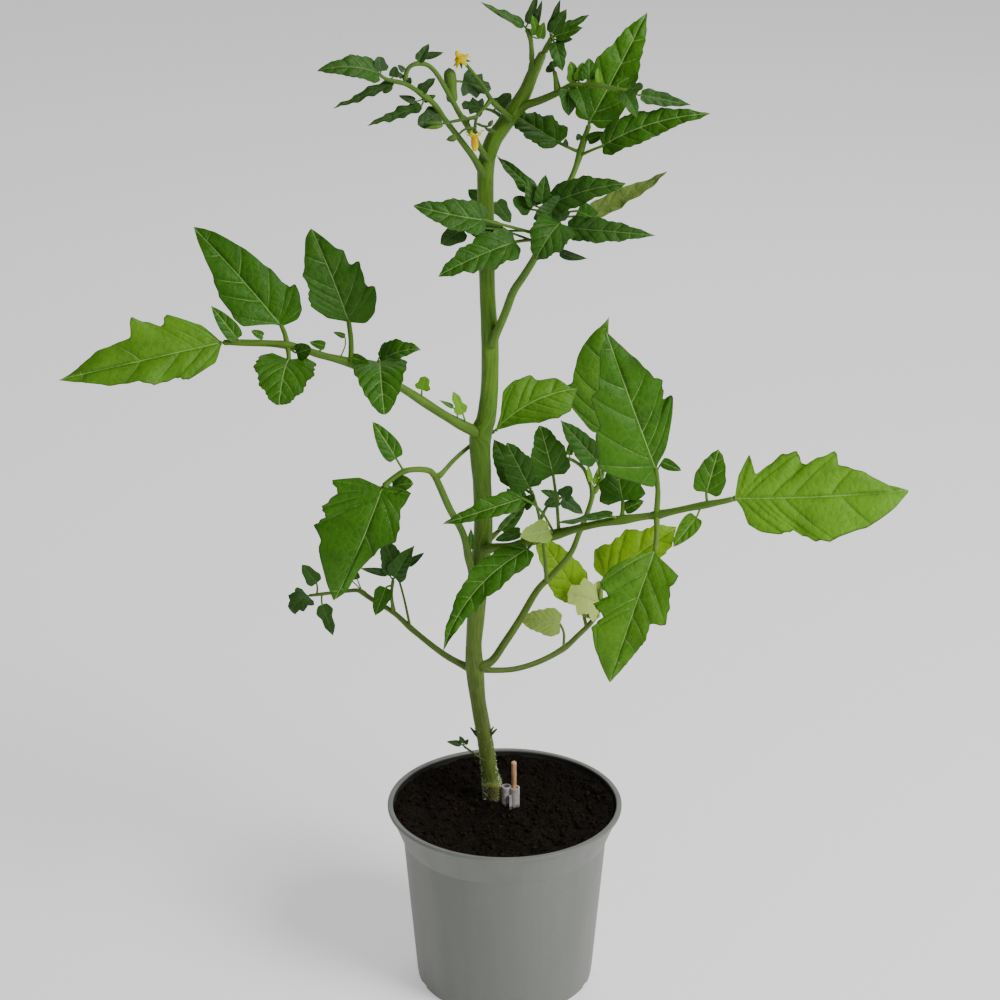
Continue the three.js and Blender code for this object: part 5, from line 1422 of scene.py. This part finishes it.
def build_stem(settings, finishes, hairs, dice):
    """The main stem, brown below the graft, with its stubs, warts and hairs."""
    line = Line(*STEM)
    shape = Shape("flat", "tint")
    points, flat, faces = rings_along(line, 0.001, 36, stem_form(line, 1.7))
    brown = 1 - smooth_step(points[:, 2] + 0.0008 * np.sin(points[:, 0] * 2600), 0.1105, 0.1125)
    young = smooth_step(points[:, 2], 0.50, 0.525)
    shape.add(points, faces, flat=flat, tint=np.stack([brown, 0 * brown, 0.3 * young], 1))
    add_warts(hairs, line, dice)
    for foot, tip, thick in STUBS:
        spike = Line([foot, (np.array(foot) + tip) / 2 + (0, -0.4, 0.3), tip],
                     [thick * 0.85, thick, 0.4])
        points, flat, faces = rings_along(spike, 0.0007, 8, spike.plain)
        shape.add(points, faces, flat=flat, tint=(0, 1, 0))
    shape.piece("main_stem_skin", finishes["stem"], "main_stem", "stem_green")
    for count, share, *where in STEM_HAIRS:
        add_hairs(hairs, line, count, settings.tomato_stem.hair_length * share, dice, *where)


def add_warts(shape, line, dice, count=230):
    """Small pale root buds on the foot of the stem."""
    for _ in range(count):
        where = dice.uniform(0.7, 5.4)
        middle, tangent = line.point(where), line.tangent(where)
        side = unit(np.cross(tangent, (0.0, 1.0, 0.0)))
        turn = dice.normal(0, 0.45) + (math.pi if dice.uniform() < 0.6 else 0)
        outward = turned(side, tangent, turn)
        size = dice.uniform(0.00018, 0.0004) * (1.1 if middle[2] < 0.125 else 0.8)
        spot = middle + outward * (line.radius(where) * 0.99)
        points, faces = pebble(spot, (size, size * 1.5, size), dice, rows=5, around=8)
        shape.add(points, faces)


def pebble(middle, sizes, dice, rows=6, around=9, rough=0.22):
    """A small uneven lump: points and faces."""
    phase = dice.uniform(0, 6.28, 4)
    rings = []
    for row in range(1, rows):
        high = math.pi * row / rows
        for side in range(around):
            turn = 2 * math.pi * side / around
            bump = 1 + rough * (math.sin(2 * turn + phase[0]) * math.sin(high * 2 + phase[1])
                                + 0.6 * math.sin(3 * turn + phase[2] + high * 4))
            rings.append((math.sin(high) * math.cos(turn) * bump, math.cos(high) * bump,
                          math.sin(high) * math.sin(turn) * bump))
    points = np.array([*rings, (0, 1, 0), (0, -1, 0)]) * np.array(sizes)
    w, x, y, z = unit(dice.normal(0, 1, 4))
    spun = points @ np.array([
        [1 - 2 * (y * y + z * z), 2 * (x * y - z * w), 2 * (x * z + y * w)],
        [2 * (x * y + z * w), 1 - 2 * (x * x + z * z), 2 * (y * z - x * w)],
        [2 * (x * z - y * w), 2 * (y * z + x * w), 1 - 2 * (x * x + y * y)],
    ]).T
    return spun + middle, tube_faces(rows - 1, around)


# Pot and soil


def rounded(profile, radius, steps=4):
    """A profile with each corner rounded by up to that radius."""
    made = [np.array(profile[0], float)]
    for before, corner, after in zip(profile, profile[1:], profile[2:]):
        before, corner, after = (np.array(p, float) for p in (before, corner, after))
        back, ahead = before - corner, after - corner
        reach = min(radius, 0.42 * np.linalg.norm(back), 0.42 * np.linalg.norm(ahead))
        start, end = corner + unit(back) * reach, corner + unit(ahead) * reach
        for step in range(steps + 1):
            t = step / steps
            made.append((1 - t) ** 2 * start + 2 * t * (1 - t) * corner + t * t * end)
    made.append(np.array(profile[-1], float))
    return made


def finer(profile, step):
    """The profile with long spans divided."""
    made = [profile[0]]
    for a, b in zip(profile, profile[1:]):
        count = max(1, math.ceil(np.linalg.norm(b - a) / step))
        made += [a + (b - a) * k / count for k in range(1, count + 1)]
    return made


def revolved(profile, around):
    """Points and faces of a body turned about Z; the profile starts and ends on the axis."""
    rings = [ring(radius, height, circle(around)) for radius, height in profile[1:-1]]
    ends = [(0, 0, profile[0][1]), (0, 0, profile[-1][1])]
    return np.concatenate([*rings, ends]), tube_faces(len(rings), around)


def build_pot(settings, finishes):
    """The turned pot, with its drain holes drilled and its foot ring notched between them."""
    pot = settings.tomato_pot
    rim, foot, height, wall = pot.rim_radius, pot.base_radius, pot.height, pot.wall
    collar, step = pot.collar_radius, pot.collar_foot
    lip, floor, hub = 0.002, 0.0025, 0.022
    holes, hole_circle, hole_radius, hole_sides = 8, 0.034, 0.005, 32
    drill = (-0.001, 0.0055)
    notch_reach, notch_half, notch_depth = 0.006, 0.0035, 0.0018
    sharp = math.radians(38)
    # Radius and height, from the middle of the underside over the lip to the inner floor.
    profile = [
        (0, 0.0), (hub, 0.0), (hub + 0.001, floor), (foot - 0.004, floor), (foot - 0.003, 0.0),
        (foot, 0.0), (foot + 0.0006, 0.004), (collar - 0.0005, step), (collar, step + 0.0008),
        (rim - 0.0014, height - lip - 0.0006), (rim, height - lip), (rim, height),
        (pot.hole_radius, height), (pot.hole_radius, height - lip - 0.0006),
        (collar - wall, step + 0.0008), (collar - 0.0005 - wall, step),
        (foot - wall + 0.0004, floor + wall), (0, floor + wall),
    ]
    shape = Shape()
    shape.add(*revolved(finer(rounded(profile, 0.0007), 0.006), pot.turns))
    made = shape.piece("nursery_pot", finishes["plastic"], "pot", "pot_plastic", sharp)

    cutters = Shape()
    for hole in range(holes):
        turn = 2 * math.pi * hole / holes
        x, y = hole_circle * math.cos(turn), hole_circle * math.sin(turn)
        rings = [ring(hole_radius, z, circle(hole_sides), x, y) for z in drill]
        cutters.add(np.concatenate([*rings, [(x, y, z) for z in drill]]),
                    tube_faces(2, hole_sides))
        between = turn + math.pi / holes
        out = np.array([math.cos(between), math.sin(between), 0])
        beside = np.array([-math.sin(between), math.cos(between), 0])
        ends = [out * (foot - 0.002) + UP * dz for dz in (-notch_depth, notch_depth)]
        corners = [end + out * notch_reach * far + beside * notch_half * side for end in ends
                   for far, side in ((-1, -1), (1, -1), (1, 1), (-1, 1))]
        cutters.add([*corners, *ends], tube_faces(2, 4))
    knife = bpy.data.meshes.new("holes_and_notches")
    knife.from_pydata(np.concatenate(cutters.points).tolist(), [], cutters.faces)
    blade = placed("holes_and_notches", knife)
    cut = made.modifiers.new("holes", "BOOLEAN")
    cut.object, cut.solver, cut.operation = blade, "EXACT", "DIFFERENCE"
    bpy.context.view_layer.update()
    made.data = bpy.data.meshes.new_from_object(
        made.evaluated_get(bpy.context.evaluated_depsgraph_get()))
    made.modifiers.clear()
    made.data.set_sharp_from_angle(angle=sharp)
    bpy.data.objects.remove(blade)


def soil_height(x, y, settings):
    """Height of the soil's surface: a lumpy dish, high at the wall, with a mound at the stem's
    foot and a hollow around the clip."""
    rise = float(np.interp(math.hypot(x, y), [0.024, 0.045, 0.056, 0.061], [0, 0.2, 0.85, 1]))
    stem_x, stem_y, clip_x, clip_y = -0.007, 0.016, 0.0033, 0.0125
    mound = 0.0026 * math.exp(-((x - stem_x) ** 2 + (y - stem_y) ** 2) / 0.009 ** 2)
    hollow = 0.0022 * math.exp(-((x - clip_x) ** 2 + (y - clip_y) ** 2) / 0.006 ** 2)
    lumps = sum(share * noise.noise((x / wide, y / wide, layer)) for share, wide, layer in
                ((0.62, 0.012, 0.3), (0.42, 0.0048, 1.7), (0.24, 0.0021, 5.1)))
    dish = settings.middle + (settings.edge - settings.middle) * rise
    return dish + mound - hollow + settings.lump * lumps


def build_soil(settings, finishes, dice):
    """The peat as one body that fills the pot, with loose crumbs and fibres on it."""
    soil = settings.tomato_soil
    around, rings, edge = 300, 92, 0.0608
    turns = circle(around)
    rows = []
    # Radius and height of the soil's flank, from the pot's floor up.
    below = [(0.0472, 0.0044), (0.0480, 0.012), (0.0544, 0.0868), (0.0552, 0.0882),
             (edge - 0.0006, 0.101)]
    for r, z in below:
        rows.append([(r * math.cos(a), r * math.sin(a), z) for a in turns])
    for number in range(rings):
        r = edge * (1 - number / rings) ** 0.9
        rows.append([(r * math.cos(a), r * math.sin(a),
                      soil_height(r * math.cos(a), r * math.sin(a), soil)) for a in turns])
    points = [point for row in rows for point in row]
    points += [(0, 0, below[0][1]), (0, 0, soil_height(0, 0, soil))]
    shape = Shape("kind")
    shape.add(points, tube_faces(len(rows), around), kind=(0, 0, 0))
    kept_clear = [(-0.007, 0.0165, 0.0052), *((*tube, 0.0033) for tube in CLIP_TUBES)]

    def free_spot():
        """A random place that is clear of the stem's foot and the clip's tubes."""
        while True:
            r, a = CRUMB_REACH * math.sqrt(dice.uniform()), dice.uniform(0, 2 * math.pi)
            x, y = r * math.cos(a), r * math.sin(a)
            if all(math.hypot(x - cx, y - cy) > keep for cx, cy, keep in kept_clear):
                return x, y

    for _ in range(soil.crumbs):
        x, y = free_spot()
        size = 0.0004 + 0.0011 * dice.uniform() ** 3
        large = size > 0.0009
        pale = dice.uniform() ** 5
        points, faces = pebble(np.array([x, y, soil_height(x, y, soil) + size * 0.25]),
                               (size, size * dice.uniform(0.6, 1.2), size * 0.8), dice,
                               rows=6 if large else 4, around=9 if large else 6, rough=0.3)
        shape.add(points, faces, kind=(pale * 0.5, dice.uniform() ** 2, 0))
    for _ in range(soil.fibres):
        x, y = free_spot()
        heading, long = dice.uniform(0, 6.28), dice.uniform(0.003, 0.011)
        bend = dice.normal(0, 0.6)
        route = []
        for step in range(5):
            reach = long * (step / 4 - 0.5)
            px = x + reach * math.cos(heading + bend * step / 4)
            py = y + reach * math.sin(heading + bend * step / 4)
            out = math.hypot(px, py)
            if out > CRUMB_REACH:
                px, py = px * CRUMB_REACH / out, py * CRUMB_REACH / out
            lift = 0.0003 + 0.0012 * dice.uniform() * math.sin(math.pi * step / 4)
            route.append(np.array([px, py, soil_height(px, py, soil) + lift]) / MM)
        line = Line(route, [dice.uniform(0.07, 0.2), 0.05])
        points, _, faces = rings_along(line, 0.0012, 5, line.plain)
        shape.add(points, faces, kind=(dice.uniform(0.25, 0.9), 0, 0))
    shape.piece("peat_soil", finishes["soil"], "soil", "soil")


# Clip and stick


def build_clip(settings, finishes):
    """The clip: two open tubes side by side and the tail between them."""
    clip = settings.tomato_clip
    low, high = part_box("graft_clip")[0].z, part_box("graft_clip")[1].z
    outer, bore = clip.tube_radius, clip.bore_radius
    shape = Shape()
    around = 48
    turns = circle(around)
    # The outline runs past its start so that all four corners are rounded; both spare ends
    # are then cut off.
    corners = [(bore, low), (outer, low), (outer, high), (bore, high), (bore, low), (outer, low)]
    profile = finer(rounded(corners, 0.00028, 3)[4:-5], 0.0012)
    for x, y in CLIP_TUBES:
        rings = []
        for r, z in profile[:-1]:
            swell = 1 + 0.012 * np.sin(3 * turns + z * 900) * (r > (outer + bore) / 2)
            rings.append(ring(r * swell, z, turns, x, y))
        points = np.concatenate(rings)
        faces = band(len(rings), around)
        last = (len(rings) - 1) * around
        faces += [(last + side, last + (side + 1) % around, (side + 1) % around, side)
                  for side in range(around)]
        shape.add(points, faces)
    tail = rounded([(0.0, -0.0018), (0.0007, -0.0018), (0.0008, 0.0), (0.0007, 0.0017),
                    (-0.0007, 0.0017), (-0.0008, 0.0), (-0.0007, -0.0018), (0.0, -0.0018)],
                   0.0004, 3)[:-1]
    x, y = CLIP_TAIL
    heights = np.linspace(low + 0.0001, high - 0.0041, 12)
    points = [(x + px * (1 + 0.05 * math.sin(z * 1500)), y + py, z)
              for z in heights for px, py in tail]
    points += [(x, y, heights[0]), (x, y, heights[-1])]
    shape.add(points, tube_faces(len(heights), len(tail)))
    shape.piece("silicone_clip", finishes["silicone"], "graft_clip", "clip_silicone",
                math.radians(45))


def build_stick(settings, finishes):
    """The split stick in the clip's second tube: flat-sided, leaning a little and broken off
    unevenly at its top."""
    radius = settings.tomato_clip.stick_radius
    low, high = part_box("graft_stick")[0].z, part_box("graft_stick")[1].z
    x, y = CLIP_TUBES[1]
    lean, around, whole = 0.0005, 28, 44
    turns = circle(around)
    flats = 1 - 0.05 * np.abs(np.sin(3.5 * turns + 0.4))
    rings = []
    heights = [*np.linspace(low, high - 0.0008, whole), high - 0.0004, high - 0.0001]
    for number, z in enumerate(heights):
        past = max(0, number - whole + 2)
        grain = 1 - 0.035 * np.abs(np.sin(9 * turns + 3 * np.sin(z * 160)))
        splinter = 0.0005 * (np.abs(np.sin(5 * turns)) - 1) * past / 3
        rings.append(ring(radius * flats * grain * (1, 1, 0.93, 0.72)[past], z + splinter, turns,
                          x - lean * (z - low) / (high - low), y))
    ends = [(x, y, low), (x - lean, y, high - 0.0003)]
    shape = Shape()
    shape.add(np.concatenate([*rings, ends]), tube_faces(len(rings), around))
    shape.piece("wooden_stick", finishes["wood"], "graft_stick", "stick_wood", math.radians(60))


# Flowers


def add_whorl(shape, middle, axis, ahead, long, half, start, back, curl, young):
    """Petals or sepals around a middle: narrow cupped blades of that length and half width, in
    millimetres. They are turned ahead by a share of their spacing, start that far forward of
    the middle and sweep back."""
    forward = unit(np.array(axis, float))
    across = unit(np.cross((0, 1, 0), forward))
    rows, columns = 14, 7
    lift = forward * 0.12 * MM
    for number in range(PETALS):
        outward = turned(across, forward, 2 * math.pi * (number + ahead) / PETALS)
        beside = np.cross(outward, forward)
        spots, flat, tint = (np.zeros((rows, columns, 3)) for _ in range(3))
        for row, share in enumerate(np.linspace(0, 1, rows)):
            wide = half * float(np.interp(share, [0, 0.25, 0.5, 0.8, 1],
                                          [0.5, 0.92, 1, 0.55, 0.12]))
            for column, side in enumerate(np.linspace(-1, 1, columns)):
                cup = curl * wide * (1 - side * side) + 0.06 * long * math.sin(6 * share + number)
                spots[row, column] = (np.array(middle) + outward * (0.3 + share * long)
                                      + forward * (start - back * share ** 2 - cup)
                                      + beside * wide * side) * MM
                flat[row, column] = np.array([share * long, side * wide, number * 3]) * MM
                tint[row, column] = (0, share, young)
        points, faces = closed_sheet(spots + lift, spots - lift)
        shape.add(points, faces, flat=both_sides(flat), tint=both_sides(tint))


def build_flower(name, finishes):
    """The yellow parts of an open flower: petals and the ribbed cone of stamens."""
    middle, axis, cone = FLOWERS[name]
    forward = unit(np.array(axis, float))
    shape = Shape("flat", "tint")
    add_whorl(shape, middle, axis, ahead=0, long=4.5, half=1.6, start=0, back=2.4, curl=-0.35,
              young=0)
    belly = 1.1 + 0.11 * cone
    reaches = (-0.4, cone * 0.3, cone * 0.65, cone * 0.98)
    line = Line([np.array(middle) + forward * reach for reach in reaches],
                [1.15, belly, belly * 0.95, belly * 0.55])

    def ribbed(where, run, turns):
        twist = 0.5 * where
        tip = 1 if where < 2.9 else 0.5
        return line.radius(where) * (1 - 0.12 * np.abs(np.sin(3 * turns + twist))) * tip

    points, flat, faces = rings_along(line, cone * MM / 22, 36, ribbed)
    reach = (points - np.array(middle) * MM) @ forward / (cone * MM)
    shape.add(points, faces, flat=flat[:, [1, 0, 2]],
              tint=np.stack([np.ones(len(points)), reach, 0 * reach], 1))
    shape.piece(name + "_petals", finishes["petal"], name, "petal_yellow")


def build_truss(finishes, hairs, dice):
    """The flower truss: stalks with a knuckle, sepals behind the open flowers, and buds in the
    places of its leaflets."""
    frond = FRONDS["flower_truss"]
    shape = Shape("flat", "tint")
    hair, hair_apart, bud_hair = 0.0005, 0.0003, 0.0004
    for spec in frond["stalks"]:
        line = Line(*spec)
        reach = line.places(0.001)[1][-1]
        form = stalk_form(line, reach, dice, [line.spans * 0.6])
        points, flat, faces = rings_along(line, 0.0008, 12, form)
        shape.add(points, faces, flat=flat, tint=(0, 0.55, 0))
        add_hairs(hairs, line, int(reach / hair_apart), hair, dice)
    for middle, axis, _ in FLOWERS.values():
        add_whorl(shape, middle, axis, ahead=0.5, long=4.7, half=0.75, start=-1.5, back=1,
                  curl=0.4, young=0.3)
    for spec in frond["leaflets"]:
        base, tip = np.array(spec["base"], float), np.array(spec["tip"], float)
        half = spec["width"] * 0.42
        root = Line(frond["stalks"][spec["on"]][0], [1, 1]).point(spec["where"]) / MM
        line = Line([root, base, base + (tip - base) * 0.35, base + (tip - base) * 0.7, tip],
                    [0.3, half * 0.55, half, half * 0.7, 0.12])
        points, flat, faces = rings_along(
            line, 0.0004, 15,
            lambda where, run, turns: line.radius(where) * (1 - 0.1 * np.abs(np.sin(2.5 * turns))))
        shape.add(points, faces, flat=flat, tint=(0, max(0, -1.9 * spec.get("tone", 0)), 0.1))
        add_hairs(hairs, line, 14, bud_hair, dice)
    shape.piece("flower_truss_stalks", finishes["stem"], "flower_truss", "stem_green")


# Stage


def build_stage(settings):
    """The fitted camera, a floor that curves up behind, three soft lamps and even light."""
    stage = settings.tomato_stage
    camera = bpy.data.cameras.new("camera")
    camera.sensor_width = 36
    camera.lens = stage.lens
    camera.clip_start, camera.clip_end = 0.05, 30
    eye = placed("camera", camera)
    eye.location = stage.eye
    eye.rotation_euler = (math.pi / 2 - stage.pitch, 0, 0)
    bpy.context.scene.camera = eye

    profile = [(-3.0, 0.0), (3.2, 0.0), (4.2, 0.12), (5.0, 0.5), (5.5, 1.1), (5.7, 4.0)]
    columns = np.linspace(-6, 6, 13)
    points = [(x, y, z) for y, z in profile for x in columns]
    across = len(columns)
    faces = [(row * across + k, row * across + k + 1, (row + 1) * across + k + 1,
              (row + 1) * across + k)
             for row in range(len(profile) - 1) for k in range(across - 1)]
    mesh = bpy.data.meshes.new("backdrop")
    mesh.from_pydata(points, [], faces)
    mesh.polygons.foreach_set("use_smooth", [True] * len(mesh.polygons))
    mesh.materials.append(floor_finish(stage))
    placed("backdrop", mesh)

    lamps = {
        "key_light": ((1.4, -1.0, 1.6), 1.1, stage.key_power),
        "fill_light": ((-1.5, -0.9, 0.9), 1.2, stage.fill_power),
        "back_light": ((0.3, 1.5, 1.9), 1.3, stage.rim_power),
    }
    for name, (spot, size, power) in lamps.items():
        lamp = bpy.data.lights.new(name, "AREA")
        lamp.shape, lamp.size, lamp.energy = "DISK", size, power
        made = placed(name, lamp)
        made.location = spot
        aim = Vector((0, 0, 0.25)) - Vector(spot)
        made.rotation_euler = aim.to_track_quat("-Z", "Y").to_euler()
    world = bpy.data.worlds.new("studio")
    world.use_nodes = True
    background = world.node_tree.nodes["Background"]
    background.inputs["Color"].default_value = (1, 1, 1, 1)
    background.inputs["Strength"].default_value = stage.air
    bpy.context.scene.world = world


# Operators, panel and start

MADE = {}


def finishes_for(scene):
    """The materials, made once and shared by the pieces."""
    if not MADE:
        MADE["plastic"] = plastic_finish(scene.tomato_pot)
        MADE["soil"] = soil_finish(scene.tomato_soil)
        MADE["stem"] = stem_finish(scene.tomato_stem)
        MADE["hair"] = hair_finish(scene.tomato_stem)
        MADE["leaf"] = leaf_finish(scene.tomato_leaf)
        MADE["petal"] = petal_finish(scene.tomato_flower)
        MADE["silicone"] = silicone_finish(scene.tomato_clip)
        MADE["wood"] = wood_finish(scene.tomato_clip)
    return MADE


class TOMATO_OT_stage(bpy.types.Operator):
    """Make the camera, the floor and the lights"""

    bl_idname = "tomato.stage"
    bl_label = "Stage"

    def execute(self, context):
        build_stage(context.scene)
        return {"FINISHED"}


class TOMATO_OT_pot(bpy.types.Operator):
    """Make the nursery pot with its drain holes and notches"""

    bl_idname = "tomato.pot"
    bl_label = "Pot"

    def execute(self, context):
        build_pot(context.scene, finishes_for(context.scene))
        return {"FINISHED"}


class TOMATO_OT_soil(bpy.types.Operator):
    """Make the peat with its crumbs and fibres"""

    bl_idname = "tomato.soil"
    bl_label = "Soil"

    def execute(self, context):
        build_soil(context.scene, finishes_for(context.scene), np.random.default_rng(SEED))
        return {"FINISHED"}


class TOMATO_OT_clip(bpy.types.Operator):
    """Make the graft clip and its stick"""

    bl_idname = "tomato.clip"
    bl_label = "Clip and stick"

    def execute(self, context):
        build_clip(context.scene, finishes_for(context.scene))
        build_stick(context.scene, finishes_for(context.scene))
        return {"FINISHED"}


class TOMATO_OT_stem(bpy.types.Operator):
    """Make the main stem with the swollen graft and its hairs"""

    bl_idname = "tomato.stem"
    bl_label = "Main stem"

    def execute(self, context):
        finishes = finishes_for(context.scene)
        hairs = Shape()
        build_stem(context.scene, finishes, hairs, np.random.default_rng(SEED + 1))
        hairs.piece("stem_hairs", finishes["hair"], None, "stem_green")
        return {"FINISHED"}


class TOMATO_OT_fronds(bpy.types.Operator):
    """Make every leaf and shoot with its stalks and leaflets"""

    bl_idname = "tomato.fronds"
    bl_label = "Leaves and shoots"

    def execute(self, context):
        scene, finishes = context.scene, finishes_for(context.scene)
        hairs = Shape()
        for number, (name, frond) in enumerate(FRONDS.items()):
            if name != "flower_truss":
                build_frond(name, frond, scene, finishes, hairs,
                            np.random.default_rng((SEED + 2, number)))
        bearer = Line(*FRONDS["leaf_lower_back"]["stalks"][0])
        for number, (name, spec) in enumerate(YELLOW_LEAFLETS.items()):
            dice = np.random.default_rng((SEED + 4, number))
            blades, stalks = Shape("veins", "edge", "flat", "tint"), Shape("flat", "tint")
            add_leaflet(blades, stalks, bearer, spec, scene.tomato_leaf, dice)
            blades.piece(name + "_blade", finishes["leaf"], name, "leaf_yellow")
            stalks.piece(name + "_stalk", finishes["stem"], name, "leaf_yellow")
        hairs.piece("leaf_stalk_hairs", finishes["hair"], None, "stem_green")
        return {"FINISHED"}


class TOMATO_OT_flowers(bpy.types.Operator):
    """Make the truss with its buds and both open flowers"""

    bl_idname = "tomato.flowers"
    bl_label = "Flowers"

    def execute(self, context):
        finishes = finishes_for(context.scene)
        hairs = Shape()
        build_truss(finishes, hairs, np.random.default_rng(SEED + 3))
        for name in FLOWERS:
            build_flower(name, finishes)
        hairs.piece("truss_hairs", finishes["hair"], None, "stem_green")
        return {"FINISHED"}


OPERATORS = (TOMATO_OT_stage, TOMATO_OT_pot, TOMATO_OT_soil, TOMATO_OT_clip, TOMATO_OT_stem,
             TOMATO_OT_fronds, TOMATO_OT_flowers)


class TOMATO_PT_panel(bpy.types.Panel):
    """Lists the settings and the steps that build the plant"""

    bl_idname = "TOMATO_PT_panel"
    bl_label = "Potted tomato plant"
    bl_space_type = "VIEW_3D"
    bl_region_type = "UI"
    bl_category = "Tomato"

    def draw(self, context):
        for operator in OPERATORS:
            self.layout.operator(operator.bl_idname)
        for name, group in SETTINGS.items():
            box = self.layout.box()
            box.label(text=group.__doc__)
            for setting in group.__annotations__:
                box.prop(getattr(context.scene, name), setting)


CLASSES = (*SETTINGS.values(), *OPERATORS, TOMATO_PT_panel)


def register():
    for made in CLASSES:
        bpy.utils.register_class(made)
    for name, group in SETTINGS.items():
        setattr(bpy.types.Scene, name, PointerProperty(type=group))


def unregister():
    for name in SETTINGS:
        delattr(bpy.types.Scene, name)
    for made in reversed(CLASSES):
        bpy.utils.unregister_class(made)


def main():
    register()
    bpy.ops.tomato.stage()
    bpy.ops.tomato.pot()
    bpy.ops.tomato.soil()
    bpy.ops.tomato.clip()
    bpy.ops.tomato.stem()
    bpy.ops.tomato.fronds()
    bpy.ops.tomato.flowers()


if __name__ == "__main__":
    main()
